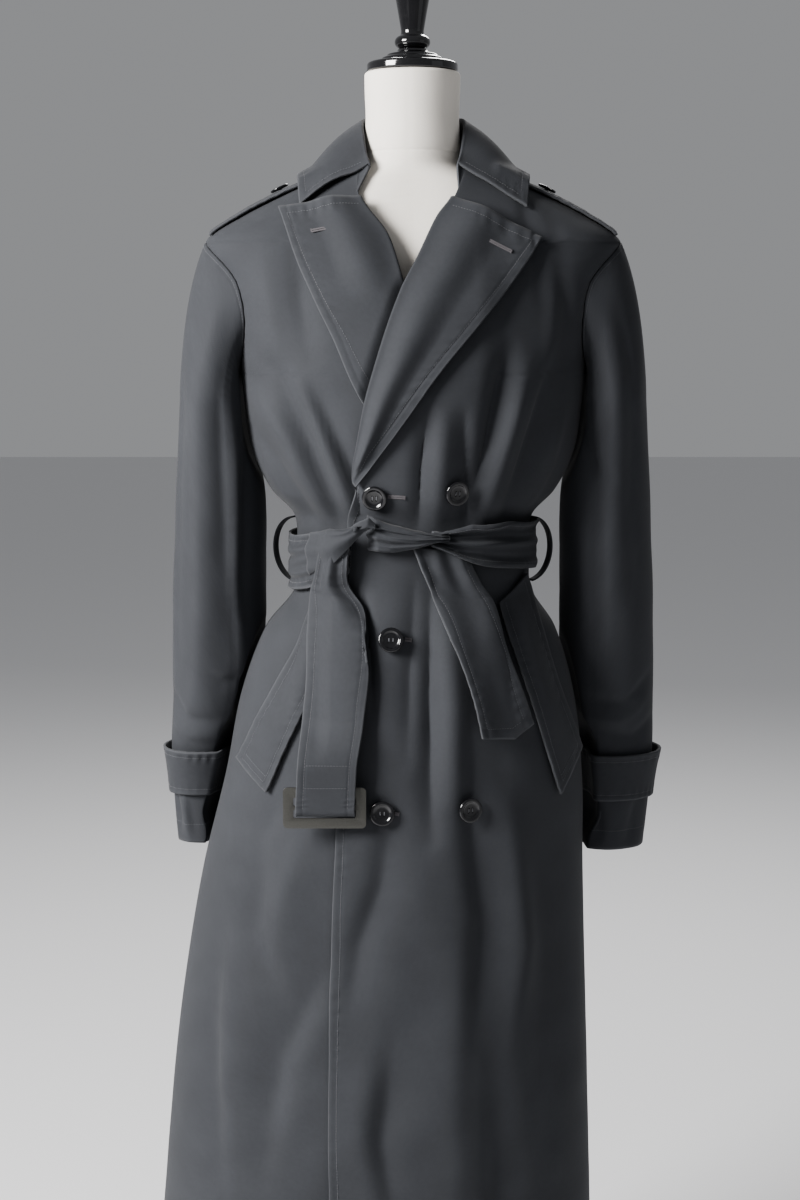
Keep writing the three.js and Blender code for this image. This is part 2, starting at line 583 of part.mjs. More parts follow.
// The belt's long end hangs in front of the buckle's upper half and is sewn round its middle bar.
const LONG_END = [
  { z: 1072, x: -66, width: 44, lift: 10.8 }, { z: 1000, x: -73, width: 56, lift: 12 },
  { z: 900, x: -84, width: 64, lift: 14 }, { z: 812, x: -87, width: 64, lift: 20 },
];
const LOOP_RADIUS = 5.8;
const LOOP_DROP = 3.6;        // how far below the bar the loop's turn lies
const LOOP_BACK = 6;          // how far above the bar the sewn end reaches behind it
function beltLongEnd() {
  const hangTop = LONG_END[0].z;
  const hang = hangTop - BUCKLE.z;
  const turn = HALF_TURN * LOOP_RADIUS;
  const total = hang + LOOP_DROP + turn + LOOP_DROP + LOOP_BACK;
  const surface = (u, v) => {
    const run = v * total;
    const z = hangTop - Math.min(run, hang);
    const width = readTable(LONG_END, 'width', z);
    const x = readTable(LONG_END, 'x', z) + (u - 0.5) * width;
    const hanging = onFront(x, z, readTable(LONG_END, 'lift', z));
    const past = run - hang;
    const round = clamp01((past - LOOP_DROP) / turn) * HALF_TURN;
    const behind = Math.max(0, past - LOOP_DROP - turn);
    const down = Math.min(past, LOOP_DROP) + LOOP_RADIUS * Math.sin(round) - behind;
    const flat = buckleMiddle.clone()
      .addScaledVector(buckleAcross, x - BUCKLE.x)
      .addScaledVector(buckleOut, LOOP_RADIUS * Math.cos(round))
      .addScaledVector(buckleDown, down);
    return hanging.lerp(flat, smooth(905, 850, z));
  };
  const hangRows = [0, 0.12, 0.25, 0.38, 0.5, 0.62, 0.72, 0.82, 0.92, 1].map((t) => (t * hang) / total);
  const loopRows = [0, 0.25, 0.5, 0.75, 1].map((t) => (hang + LOOP_DROP + t * turn) / total);
  const rows = [...hangRows, ...loopRows, 1];
  return clothWall(surface, { columns: 4, rows, thickness: STRAP, outward: -1 });
}

function buckleFrame() {
  const { width, height, bar, middleBar, corner, thickness } = BUCKLE;
  const outline = roundedRectangle(new THREE.Shape(), -width / 2, -height / 2, width, height, corner);
  const windowWidth = width - 2 * bar;
  const windowHeight = (height - middleBar) / 2 - bar;
  for (const y of [middleBar / 2, -middleBar / 2 - windowHeight]) {
    const opening = new THREE.Path();
    outline.holes.push(roundedRectangle(opening, -windowWidth / 2, y, windowWidth, windowHeight, 1.5));
  }
  const extrusion = { depth: thickness, bevelEnabled: false, curveSegments: 4 };
  const geometry = new THREE.ExtrudeGeometry(outline, extrusion);
  geometry.translate(0, 0, -thickness / 2);
  geometry.rotateX(HALF_TURN / 2);
  geometry.translate(buckleMiddle.x, buckleMiddle.y, buckleMiddle.z);
  return geometry;
}

function roundedRectangle(path, x, y, width, height, radius) {
  path.moveTo(x + radius, y);
  path.lineTo(x + width - radius, y);
  path.absarc(x + width - radius, y + radius, radius, -SIDE, 0);
  path.lineTo(x + width, y + height - radius);
  path.absarc(x + width - radius, y + height - radius, radius, 0, SIDE);
  path.lineTo(x + radius, y + height);
  path.absarc(x + radius, y + height - radius, radius, SIDE, HALF_TURN);
  path.lineTo(x, y + radius);
  path.absarc(x + radius, y + radius, radius, HALF_TURN, HALF_TURN + SIDE);
  return path;
}

const SHORT_END = {
  topLeft: [3, 1062], topRight: [52, 1062], endLeft: [70, 884], endRight: [124, 902], point: 16,
  lift: 5.8, billow: 7.5,
};
function beltShortEnd() {
  const { topLeft, topRight, endLeft, endRight, point } = SHORT_END;
  const surface = (u, v) => {
    const x = mix(mix(topLeft[0], topRight[0], u), mix(endLeft[0], endRight[0], u), v);
    const tip = point * v * (1 - Math.abs(2 * u - 1.3) / 1.3);
    const z = mix(mix(topLeft[1], topRight[1], u), mix(endLeft[1], endRight[1], u), v) - tip;
    const hollow = 2.5 * Math.cos(2 * HALF_TURN * u);
    return onFront(x, z, SHORT_END.lift + hollow + SHORT_END.billow * Math.sin(HALF_TURN * v));
  };
  return clothWall(surface, { columns: 6, rows: 8, thickness: STRAP, outward: -1 });
}

// ---------------------------------------------------------------- belt loops
const BELT_LOOP = { top: 1124, bottom: 1014, bow: 19, halfWidth: 5, middleY: 14 };
function beltLoop(sign) {
  const { top, bottom, bow, halfWidth, middleY } = BELT_LOOP;
  const ends = [top, bottom].map((z) => coatSide(middleY, z, sign) + CLOTH + 0.5);
  const inner = coatSide(middleY, 1070, sign) + bow;
  const path = new THREE.CubicBezierCurve3(
    new THREE.Vector3(sign * ends[0], 0, top),
    new THREE.Vector3(sign * (inner + 6), 0, top + 4),
    new THREE.Vector3(sign * (inner + 6), 0, bottom + 12),
    new THREE.Vector3(sign * ends[1], 0, bottom),
  );
  const surface = (u, v) => {
    const p = path.getPoint(v);
    return new THREE.Vector3(p.x, middleY + (u - 0.5) * 2 * halfWidth, p.z);
  };
  return clothWall(surface, { columns: 1, rows: 10, outward: -sign });
}

// ---------------------------------------------------------------- buttons
const BUTTON = { seat: 0.8, radius: 13.5, rim: 2, thickness: 3.6, shank: 3, shankHeight: 2, dish: 7.5 };
const BUTTON_PLACES = [
  { name: 'button_top_right', x: -40, z: 1141 }, { name: 'button_top_left', x: 43, z: 1146 },
  { name: 'button_middle_right', x: -24, z: 987 },
  { name: 'button_middle_left', x: 49, z: 986, seat: -0.9 },
  { name: 'button_low_right', x: -34, z: 806, seat: 0 },
  { name: 'button_low_left', x: 58, z: 808, seat: 4.4 },
];
function buttonGeometry(scale = 1) {
  const { radius, rim, thickness, shank, shankHeight, dish } = BUTTON;
  const top = shankHeight + thickness;
  const profile = [
    [0, 0], [shank, 0], [shank, shankHeight], [radius - 1.5, shankHeight], [radius, top - 1],
    [radius - rim, top], [dish, top - 1], [dish - 1.5, top - 2], [0, top - 2],
  ];
  return new THREE.LatheGeometry(profile.map(([r, h]) => new THREE.Vector2(r * scale, h * scale)), 14);
}

function placeOn(mesh, point, normal) {
  mesh.position.copy(point);
  mesh.quaternion.setFromUnitVectors(new THREE.Vector3(0, 1, 0), normal);
  return mesh;
}

// ---------------------------------------------------------------- dress form
const NECK = { radius: 52.5, waist: 52.5, top: 1596, round: 4, middle: new THREE.Vector3(-1, 1, 0) };
const TORSO_BOTTOM = 905;
const TORSO_CLEARANCE = 24;   // the form stands this far inside the coat below the chest
function torsoPoint(angle, z) {
  const plain = girthPoint(angle, Math.min(z, NECK_Z), TORSO_CLEARANCE);
  const seated = CLOTH + 0.6 + 5 * Math.sqrt(Math.abs(Math.cos(angle)));
  plain.lerp(skin(angle, Math.min(z, NECK_Z), -seated), smooth(1345, 1425, z));
  const rounded = z === NECK.top ? NECK.round : 0;
  const radius = mix(NECK.waist, NECK.radius, smooth(1505, 1590, z)) - rounded;
  const neck = new THREE.Vector3(radius * Math.sin(angle), -radius * Math.cos(angle), z).add(NECK.middle);
  return plain.lerp(neck, smooth(1480, 1503, z));
}

function formTorso() {
  const rings = [TORSO_BOTTOM, 950, 1000, 1050, 1100, 1150, 1200, 1250, 1300, 1340, 1380, 1412, 1430, 1448,
    1465, 1482, 1492, 1503, 1545, 1580, NECK.top - NECK.round, NECK.top];
  const segments = 28;
  const positions = [];
  rings.forEach((z) => {
    for (let k = 0; k < segments; k += 1) {
      positions.push(...torsoPoint((k / segments) * 2 * HALF_TURN, z).toArray());
    }
  });
  const index = [];
  for (let i = 0; i < rings.length - 1; i += 1) {
    for (let k = 0; k < segments; k += 1) {
      const a = i * segments + k;
      const b = i * segments + ((k + 1) % segments);
      index.push(a, b, b + segments, a, b + segments, a + segments);
    }
  }
  const last = (rings.length - 1) * segments;
  for (let k = 1; k < segments - 1; k += 1) {
    index.push(0, k + 1, k, last, last + k, last + k + 1);
  }
  return closedGeometry(positions, index);
}

const turned = (profile, segments = 24) => {
  const geometry = new THREE.LatheGeometry(profile.map(([r, h]) => new THREE.Vector2(r, h)), segments);
  return geometry.rotateX(SIDE);
};

function neckCap() {
  return turned([[0, 0], [48.5, 0], [50, 1.5], [50, 8], [47, 10], [33, 12], [32, 15], [28, 16.5], [22, 20],
    [17, 21], [16, 24], [0, 24]]);
}

function finial() {
  return turned([[0, 0], [14, 0], [19, 4], [20, 8], [18, 12.5], [13, 15], [12.5, 18], [15, 34], [19, 56],
    [21.5, 70], [21, 78], [17, 84], [9, 88], [0, 89]]);
}

const BASE_RADIUS = 190;
const BASE_HEIGHT = 20;
function standPole() {
  const length = TORSO_BOTTOM - BASE_HEIGHT - 2 * SEAM;
  return turned([[0, 0], [16, 0], [16, length - 8], [30, length - 7], [30, length], [0, length]]);
}

function standBase() {
  return turned([[0, 0], [BASE_RADIUS, 0], [BASE_RADIUS, 6], [BASE_RADIUS - 4, 9], [60, 16],
    [26, BASE_HEIGHT], [0, BASE_HEIGHT]], 40);
}

// ---------------------------------------------------------------- the whole
const part = new THREE.Group();
function addPiece(name, geometry, finish) {
  const mesh = new THREE.Mesh(geometry, new THREE.MeshStandardMaterial(finish));
  mesh.name = name;
  part.add(mesh);
  return mesh;
}

addPiece('form_torso', formTorso(), FORM_CLOTH);
addPiece('neck_cap', neckCap(), BLACK_GLOSS).position.set(-1, 1, NECK.top + 0.3);
addPiece('finial', finial(), BLACK_GLOSS).position.set(-1, 1, NECK.top + 24.6);
addPiece('stand_pole', standPole(), POLE_STEEL).position.set(0, 0, BASE_HEIGHT + SEAM);
addPiece('stand_base', standBase(), POLE_STEEL);

addPiece('front_right', frontPanel(RIGHT_FRONT_RIM, false), COAT);
addPiece('front_left', frontPanel(LEFT_FRONT_RIM, true), COAT);
addPiece('back', backPanel(), COAT);
addPiece('lapel_right', lapel(RIGHT_FRONT_RIM, RIGHT_LAPEL_RIM, false), COAT_DARK);
addPiece('lapel_left', lapel(LEFT_FRONT_RIM, LEFT_LAPEL_RIM, true), COAT);
addPiece('collar_stand', collarStand(), COAT_DARK);
addPiece('collar', collarLeaf(), COAT);

for (const [side, sign] of [['left', 1], ['right', -1]]) {
  addPiece(`sleeve_${side}_top`, sleevePiece(sign, true), COAT);
  addPiece(`sleeve_${side}_under`, sleevePiece(sign, false), COAT);
  addPiece(`cuff_strap_${side}`, cuffStrap(sign), COAT);
  addPiece(`epaulette_${side}`, epaulette(sign), COAT);
  addPiece(`pocket_welt_${side}`, pocketWelt(WELTS[side], sign), COAT);
  addPiece(`belt_loop_${side}`, beltLoop(sign), COAT);
  const button = addPiece(`epaulette_button_${side}`, buttonGeometry(0.8), HORN);
  const seat = onShoulder(sign * EPAULETTE.buttonX, 0, STRAP + EPAULETTE.gap + EPAULETTE.buttonSeat);
  const above = onShoulder(sign * EPAULETTE.buttonX, 0, STRAP + EPAULETTE.gap + 10);
  placeOn(button, seat, above.sub(seat).normalize());
}

addPiece('belt_waist', beltWaist(), COAT);
addPiece('belt_knot', beltKnot(), COAT);
addPiece('belt_twist', beltTwist(), COAT);
addPiece('belt_long_end', beltLongEnd(), COAT);
addPiece('belt_short_end', beltShortEnd(), COAT_DARK);
addPiece('buckle', buckleFrame(), GUNMETAL);

for (const { name, x, z, seat = BUTTON.seat } of BUTTON_PLACES) {
  const base = onFront(x, z, seat);
  placeOn(addPiece(name, buttonGeometry(), HORN), base, onFront(x, z, 10).sub(onFront(x, z, 0)).normalize());
}

export default part;
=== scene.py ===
import math

import bmesh
import bpy
import numpy as np
from mathutils import Matrix, Vector


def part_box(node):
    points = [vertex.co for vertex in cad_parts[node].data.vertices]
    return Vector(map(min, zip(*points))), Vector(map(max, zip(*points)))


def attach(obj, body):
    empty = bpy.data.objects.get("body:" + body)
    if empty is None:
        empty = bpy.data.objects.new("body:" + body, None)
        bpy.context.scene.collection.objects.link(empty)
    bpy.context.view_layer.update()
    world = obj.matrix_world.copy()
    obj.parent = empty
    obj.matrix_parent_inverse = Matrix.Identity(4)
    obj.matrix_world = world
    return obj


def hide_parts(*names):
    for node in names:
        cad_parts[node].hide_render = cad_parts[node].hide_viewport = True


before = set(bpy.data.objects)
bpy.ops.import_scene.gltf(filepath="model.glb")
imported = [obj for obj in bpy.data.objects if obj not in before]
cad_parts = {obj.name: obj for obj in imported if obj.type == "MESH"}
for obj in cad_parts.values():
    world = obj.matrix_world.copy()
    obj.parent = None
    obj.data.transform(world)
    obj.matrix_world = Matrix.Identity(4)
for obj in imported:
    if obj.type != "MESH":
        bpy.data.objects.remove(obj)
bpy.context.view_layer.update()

scene = bpy.context.scene
FRONT, BACK = -1, 1          # the coat's front faces -Y
LEFT, RIGHT = 1, -1          # the wearer's left is +X

# ---------------------------------------------------------------- stage, light and camera
# A plain pale floor, one large soft window of light from the front left, weak light from all
# round, so that the right side falls into shadow, and a high reflector for the back.
bpy.ops.object.select_all(action="DESELECT")
bpy.ops.mesh.primitive_plane_add(size=40, location=(0, 0, -0.0005))
floor = bpy.context.object
floor.name = "floor"
paint = bpy.data.materials.new("pale floor")
paint.use_nodes = True
paint.node_tree.nodes["Principled BSDF"].inputs["Base Color"].default_value = (0.80, 0.80, 0.81, 1)
paint.node_tree.nodes["Principled BSDF"].inputs["Roughness"].default_value = 0.9
floor.data.materials.append(paint)

scene.world = bpy.data.worlds.new("soft room")
scene.world.use_nodes = True
scene.world.node_tree.nodes["Background"].inputs["Color"].default_value = (0.84, 0.85, 0.87, 1)
scene.world.node_tree.nodes["Background"].inputs["Strength"].default_value = 0.31


def window(name, place, aim, size, power, tint):
    """A square of soft light at a place, facing a point."""
    light = bpy.data.lights.new(name, "AREA")
    light.shape, light.size, light.energy, light.color = "SQUARE", size, power, tint
    lamp = bpy.data.objects.new(name, light)
    scene.collection.objects.link(lamp)
    lamp.location = place
    lamp.rotation_euler = (Vector(aim) - Vector(place)).to_track_quat("-Z", "Y").to_euler()


window("window", (-2.15, -1.40, 2.20), (0, 0, 1.2), 1.2, 178, (1.0, 0.99, 0.975))
window("low reflector", (-1.9, -2.2, 0.5), (0, 0, 0.6), 1.2, 1.5, (1, 1, 1))
window("far reflector", (2.6, -1.2, 1.6), (0, 0, 1.0), 1.6, 1.5, (0.95, 0.97, 1.0))
window("back reflector", (0.5, 2.6, 3.3), (0, 0, 0.9), 1.5, 60, (1.0, 0.99, 0.98))
scene.view_settings.view_transform = "AgX"
scene.view_settings.look = "AgX - Medium High Contrast"

view = bpy.data.cameras.new("camera")
view.lens, view.sensor_fit, view.sensor_height = 64.29, "VERTICAL", 36
camera = bpy.data.objects.new("camera", view)
scene.collection.objects.link(camera)
camera.location = (-0.0146, -2.4, 1.316)
camera.rotation_euler = (math.radians(90 - 7.181), 0, 0)
scene.camera = camera

# ---------------------------------------------------------------- the coat's shape
# The coat hangs on the form as one surface that all its layers follow: rounded sections from hem
# to neck, drawn in by the belt, with the folds that the belt and the buttons pull into the cloth.
SQUARENESS = 2.2
HEM, NECK, SHOULDER, UNDERARM, LAPEL_BREAK = 0.290, 1.497, 1.412, 1.268, 1.154
# height, middle, half width, depth to the front and to the back
GIRTH = [
    (0.290, -0.042, 0.249, 0.182, 0.172), (0.490, -0.036, 0.237, 0.172, 0.165),
    (0.610, -0.030, 0.227, 0.168, 0.158), (0.715, -0.022, 0.216, 0.166, 0.150),
    (0.820, -0.010, 0.202, 0.162, 0.142), (0.910, -0.006, 0.188, 0.154, 0.134),
    (0.985, -0.003, 0.163, 0.142, 0.120), (1.028, 0, 0.133, 0.125, 0.105),
    (1.070, 0, 0.131, 0.123, 0.103), (1.112, 0, 0.133, 0.123, 0.103),
    (1.140, 0, 0.158, 0.131, 0.112), (1.183, 0, 0.179, 0.137, 0.118),
    (1.240, 0, 0.188, 0.140, 0.122), (1.310, 0, 0.196, 0.130, 0.120),
    (1.365, 0, 0.212, 0.110, 0.108), (1.412, 0, 0.229, 0.088, 0.092),
    (1.440, 0, 0.190, 0.076, 0.082), (1.465, 0, 0.141, 0.066, 0.075),
    (1.483, 0, 0.100, 0.061, 0.070), (1.497, 0, 0.068, 0.058, 0.066),
]
# Each fold: depth (negative is a trough), width, and the line it runs along.
FRONT_FOLDS = [
    (-0.0110, 0.010, (-0.150, 1.276), (-0.110, 1.179), (-0.076, 1.103)),
    (0.0080, 0.010, (-0.167, 1.246), (-0.126, 1.192), (-0.090, 1.113)),
    (-0.0075, 0.008, (-0.106, 1.248), (-0.066, 1.165), (-0.055, 1.120)),
    (0.0065, 0.008, (-0.122, 1.268), (-0.086, 1.182), (-0.064, 1.116)),
    (-0.0075, 0.009, (-0.174, 1.210), (-0.136, 1.150), (-0.104, 1.108)),
    (0.0045, 0.014, (-0.160, 1.402), (-0.150, 1.330), (-0.140, 1.270)),
    (-0.0050, 0.012, (-0.130, 1.420), (-0.124, 1.350), (-0.112, 1.290)),
    (-0.0120, 0.010, (0.104, 1.300), (0.080, 1.201), (0.060, 1.125)),
    (0.0085, 0.010, (0.120, 1.280), (0.096, 1.190), (0.076, 1.115)),
    (-0.0070, 0.008, (0.016, 1.236), (0.008, 1.170), (0.005, 1.112)),
    (0.0060, 0.008, (0.032, 1.225), (0.027, 1.165), (0.024, 1.112)),
    (-0.0065, 0.008, (0.053, 1.228), (0.057, 1.114)),
    (-0.0085, 0.010, (0.152, 1.285), (0.122, 1.185), (0.096, 1.112)),
    (0.0065, 0.010, (0.166, 1.246), (0.142, 1.170), (0.112, 1.110)),
    (-0.0045, 0.012, (0.118, 1.465), (0.132, 1.400), (0.142, 1.340)),
    (-0.0045, 0.011, (0.150, 1.440), (0.164, 1.350), (0.160, 1.222)),
    (0.0035, 0.012, (0.136, 1.440), (0.150, 1.350), (0.146, 1.260)),
    (-0.0110, 0.013, (0.018, 1.056), (0.018, 0.937), (0.019, 0.778)),
    (0.0080, 0.012, (0.036, 0.995), (0.045, 0.820)),
    (-0.0050, 0.010, (0.000, 1.050), (-0.006, 0.950), (-0.008, 0.860)),
    (-0.0125, 0.020, (0.061, 0.890), (0.068, 0.771), (0.078, 0.690), (0.070, 0.560)),
    (0.0085, 0.020, (0.092, 0.820), (0.108, 0.740), (0.116, 0.650), (0.100, 0.520)),
    (-0.0060, 0.020, (0.140, 0.820), (0.150, 0.640), (0.140, 0.420)),
    (0.0050, 0.022, (0.046, 0.640), (0.040, 0.500), (0.046, 0.360)),
    (-0.0060, 0.024, (0.086, 0.540), (0.096, 0.400), (0.100, 0.300)),
    (-0.0095, 0.017, (-0.137, 0.822), (-0.170, 0.770), (-0.178, 0.667), (-0.152, 0.600)),
    (0.0060, 0.018, (-0.120, 0.770), (-0.140, 0.700), (-0.148, 0.640)),
    (-0.0080, 0.018, (-0.214, 0.690), (-0.228, 0.561), (-0.220, 0.400)),
    (0.0060, 0.020, (-0.196, 0.640), (-0.200, 0.520), (-0.196, 0.380)),
    (-0.0090, 0.021, (-0.095, 0.640), (-0.150, 0.530), (-0.168, 0.400)),
    (-0.0075, 0.019, (-0.024, 0.810), (-0.034, 0.728), (-0.058, 0.660), (-0.068, 0.590)),
    (0.0050, 0.018, (-0.048, 0.530), (-0.058, 0.450), (-0.040, 0.370)),
    (-0.0045, 0.018, (-0.020, 0.560), (-0.034, 0.440), (-0.012, 0.310)),
    (-0.0070, 0.009, (-0.112, 1.030), (-0.128, 0.960), (-0.146, 0.900)),
    (0.0050, 0.009, (-0.092, 1.034), (-0.112, 0.960), (-0.128, 0.880)),
    (-0.0050, 0.008, (-0.052, 1.036), (-0.046, 0.960), (-0.042, 0.900)),
    (-0.0060, 0.009, (0.076, 1.036), (0.094, 0.960), (0.110, 0.890)),
    (0.0050, 0.009, (0.100, 1.034), (0.124, 0.960), (0.146, 0.880)),
    (-0.0055, 0.010, (0.118, 1.030), (0.146, 0.960), (0.166, 0.880)),
]
BACK_FOLDS = [
    (-0.0130, 0.020, (0.004, 1.032), (-0.008, 0.700), (-0.022, 0.310)),
    (-0.0110, 0.019, (0.070, 1.030), (0.086, 0.720), (0.096, 0.360)),
    (-0.0110, 0.019, (-0.066, 1.030), (-0.104, 0.760), (-0.130, 0.400)),
    (0.0080, 0.018, (0.038, 1.010), (0.044, 0.660), (0.038, 0.310)),
    (0.0080, 0.018, (-0.034, 1.010), (-0.056, 0.640), (-0.080, 0.310)),
    (-0.0070, 0.020, (0.126, 0.960), (0.150, 0.700), (0.150, 0.420)),
    (0.0060, 0.018, (-0.120, 0.960), (-0.160, 0.700), (-0.176, 0.420)),
    (-0.0080, 0.011, (0.104, 1.285), (0.078, 1.180), (0.050, 1.108)),
    (-0.0080, 0.011, (-0.098, 1.270), (-0.080, 1.180), (-0.052, 1.108)),
    (0.0050, 0.012, (0.070, 1.240), (0.050, 1.160), (0.030, 1.108)),
    (0.0050, 0.011, (-0.128, 1.250), (-0.102, 1.170), (-0.074, 1.108)),
    (-0.0050, 0.010, (0.010, 1.210), (0.002, 1.108)),
    (-0.0060, 0.012, (0.150, 1.260), (0.122, 1.180), (0.090, 1.108)),
    (-0.0040, 0.016, (0.120, 1.430), (0.132, 1.330)), (-0.0040, 0.016, (-0.124, 1.430), (-0.130, 1.320)),
]


def ease(start, end, value):
    """0 before start, 1 after end, and smooth between them."""
    t = np.clip((value - start) / (end - start), 0, 1)
    return t * t * (3 - 2 * t)


def mix(a, b, share):
    """From a (share 0) to b (share 1)."""
    return a + (b - a) * share


def pair(x, z):
    """Two or three numbers or arrays as arrays of the same shape."""
    return [np.array(a, float) for a in np.broadcast_arrays(x, z)]


def read(rows, column, z):
    """A column of a table of sections at height z, with a smooth curve through its rows."""
    table = np.array(sorted(rows), float)
    at, value = table[:, 0], table[:, column]
    z = np.clip(z, at[0], at[-1])
    i = np.clip(np.searchsorted(at, z) - 1, 0, len(at) - 2)
    before, after = np.maximum(i - 1, 0), np.minimum(i + 2, len(at) - 1)
    span = at[i + 1] - at[i]
    t = (z - at[i]) / span
    start = (value[i + 1] - value[before]) / (at[i + 1] - at[before]) * span
    end = (value[after] - value[i]) / (at[after] - at[i]) * span
    return ((2 * t**3 - 3 * t**2 + 1) * value[i] + (t**3 - 2 * t**2 + t) * start
            + (3 * t**2 - 2 * t**3) * value[i + 1] + (t**3 - t**2) * end)


def folds_at(folds, a, b):
    """How far the folds move the cloth at the place (a, b); one side of each fold is the steeper."""
    total = np.zeros_like(a)
    for number, (depth, width, *line) in enumerate(folds):
        reach = [math.dist(p, q) for p, q in zip(line, line[1:])]
        nearest, along, passed = np.full_like(a, 9.0), np.zeros_like(a), 0.0
        side = np.ones_like(a)
        for (a0, b0), (a1, b1), length in zip(line, line[1:], reach):
            da, db = (a1 - a0) / length, (b1 - b0) / length
            run = np.clip((a - a0) * da + (b - b0) * db, 0, length)
            away = np.hypot(a - a0 - run * da, b - b0 - run * db)
            closer = away < nearest
            side = np.where(closer, np.tanh(((a - a0) * db - (b - b0) * da) / width), side)
            along = np.where(closer, passed + run, along)
            nearest = np.where(closer, away, nearest)
            passed += length
        lean = 1 + (0.28 if number % 2 else -0.28) * side
        fade = np.sin(math.pi * np.clip(0.06 + 0.88 * along / passed, 0, 1)) ** 0.8
        total += depth * fade * np.exp(-np.abs(nearest / (width * lean)) ** 1.8)
    return total


def girth(angle, z, inset=0.0):
    """A point of the plain section at height z; the girth angle is 0 at the middle of the front."""
    angle, z = pair(angle, z)
    s, c = np.sin(angle), np.cos(angle)
    k = (np.abs(s) ** SQUARENESS + np.abs(c) ** SQUARENESS) ** (-1 / SQUARENESS)
    depth = np.where(c > 0, read(GIRTH, 3, z), read(GIRTH, 4, z)) - inset
    x = read(GIRTH, 1, z) + (read(GIRTH, 2, z) - inset) * k * s
    return np.stack([x, -depth * k * c, z], -1)


def folded(angle, z, follow=1.0):
    """The plain section with its folds; what lies over the folds follows only a share of them."""
    angle, z = pair(angle, z)
    p = girth(angle, z)
    c = np.cos(angle)
    move = np.zeros_like(z)
    for folds, here in ((FRONT_FOLDS, c > 0), (BACK_FOLDS, c <= 0)):
        move[here] = folds_at(folds, p[..., 0][here], z[here])
    move *= follow
    slack = 0.0007 * np.sin(p[..., 0] * 61 + 9 * np.sin(z * 7.3)) * np.sin(z * 23 + p[..., 0] * 17)
    out = np.stack([p[..., 0] - read(GIRTH, 1, z), p[..., 1]], -1)
    out /= np.linalg.norm(out, axis=-1, keepdims=True)
    p[..., :2] += out * ((move + slack) * ease(0, 0.35, np.abs(c)))[..., None]
    return p


def outward(across, along):
    """The direction of length one at right angles to both."""
    out = np.cross(across, along)
    return out / (np.linalg.norm(out, axis=-1, keepdims=True) + 1e-12)


def skin(angle, z, lift=0.0, follow=1.0):
    """A point on the coat, moved out by a lift along the cloth's own direction."""
    angle, z = pair(angle, z)
    step = 0.0012
    out = outward(folded(angle + step, z, follow) - folded(angle - step, z, follow),
                  folded(angle, z + step, follow) - folded(angle, z - step, follow))
    return folded(angle, z, follow) + out * np.asarray(lift + 0 * z)[..., None]


def front_angle(x, z):
    """The girth angle at which the front has a given x."""
    x, z = pair(x, z)
    across = np.clip((x - read(GIRTH, 1, z)) / read(GIRTH, 2, z), -0.9999, 0.9999)
    return np.arctan2(across, (1 - np.abs(across) ** SQUARENESS) ** (1 / SQUARENESS))


# ---------------------------------------------------------------- materials that several pieces use
# Cloth has a fine diagonal weave, uneven dye and pale worn edges; hard parts have a faint grain.
def node_group(name, inputs, outputs):
    """An empty shader node group with its sockets, and its two end nodes."""
    tree = bpy.data.node_groups.new(name, "ShaderNodeTree")
    for socket, kind, value in inputs:
        made = tree.interface.new_socket(name=socket, in_out="INPUT", socket_type=kind)
        if value is not None:
            made.default_value = value
    for socket, kind in outputs:
        tree.interface.new_socket(name=socket, in_out="OUTPUT", socket_type=kind)
    return tree, tree.nodes.new("NodeGroupInput"), tree.nodes.new("NodeGroupOutput")


def noise(tree, vector, scale, detail=3.0, rough=0.55):
    """The value of a Noise Texture."""
    node = tree.nodes.new("ShaderNodeTexNoise")
    node.inputs["Scale"].default_value = scale
    node.inputs["Detail"].default_value = detail
    node.inputs["Roughness"].default_value = rough
    tree.links.new(vector, node.inputs["Vector"])
    return node.outputs["Fac"]


def calculate(tree, operation, a, b):
    """A Math node; a and b are sockets or numbers."""
    node = tree.nodes.new("ShaderNodeMath")
    node.operation = operation
    for socket, value in zip(node.inputs, (a, b)):
        if isinstance(value, (int, float)):
            socket.default_value = value
        else:
            tree.links.new(value, socket)
    return node.outputs[0]


WEAVE, start, end = node_group(
    "twill weave",
    [("Vector", "NodeSocketVector", None), ("Unevenness", "NodeSocketFloat", 0.25),
     ("Weave", "NodeSocketFloat", 0.5)],
    [("Shade", "NodeSocketFloat"), ("Height", "NodeSocketFloat")])
lines = WEAVE.nodes.new("ShaderNodeTexWave")
lines.wave_type, lines.bands_direction = "BANDS", "DIAGONAL"
lines.inputs["Scale"].default_value = 620
lines.inputs["Distortion"].default_value = 1.2
lines.inputs["Detail"].default_value = 1.0
WEAVE.links.new(start.outputs["Vector"], lines.inputs["Vector"])
thread = noise(WEAVE, start.outputs["Vector"], 1300, 2.0, 0.6)
slub = noise(WEAVE, start.outputs["Vector"], 210, 3.0, 0.65)
cloud = noise(WEAVE, start.outputs["Vector"], 26, 4.0, 0.6)
wash = noise(WEAVE, start.outputs["Vector"], 4.5, 3.0, 0.5)
blotch = calculate(WEAVE, "ADD", calculate(WEAVE, "MULTIPLY", cloud, 0.9),
                   calculate(WEAVE, "MULTIPLY", wash, 1.0))
blotch = calculate(WEAVE, "ADD", blotch, calculate(WEAVE, "MULTIPLY", slub, 0.7))
blotch = calculate(WEAVE, "ADD", blotch, calculate(WEAVE, "MULTIPLY", thread, 0.4))
blotch = calculate(WEAVE, "MULTIPLY", calculate(WEAVE, "SUBTRACT", blotch, 1.5), start.outputs["Unevenness"])
WEAVE.links.new(calculate(WEAVE, "ADD", blotch, 0.5), end.inputs["Shade"])
relief = calculate(WEAVE, "MULTIPLY", lines.outputs["Fac"], start.outputs["Weave"])
relief = calculate(WEAVE, "ADD", relief, calculate(WEAVE, "MULTIPLY", thread, 0.6))
relief = calculate(WEAVE, "ADD", relief, calculate(WEAVE, "MULTIPLY", slub, 1.6))
WEAVE.links.new(relief, end.inputs["Height"])

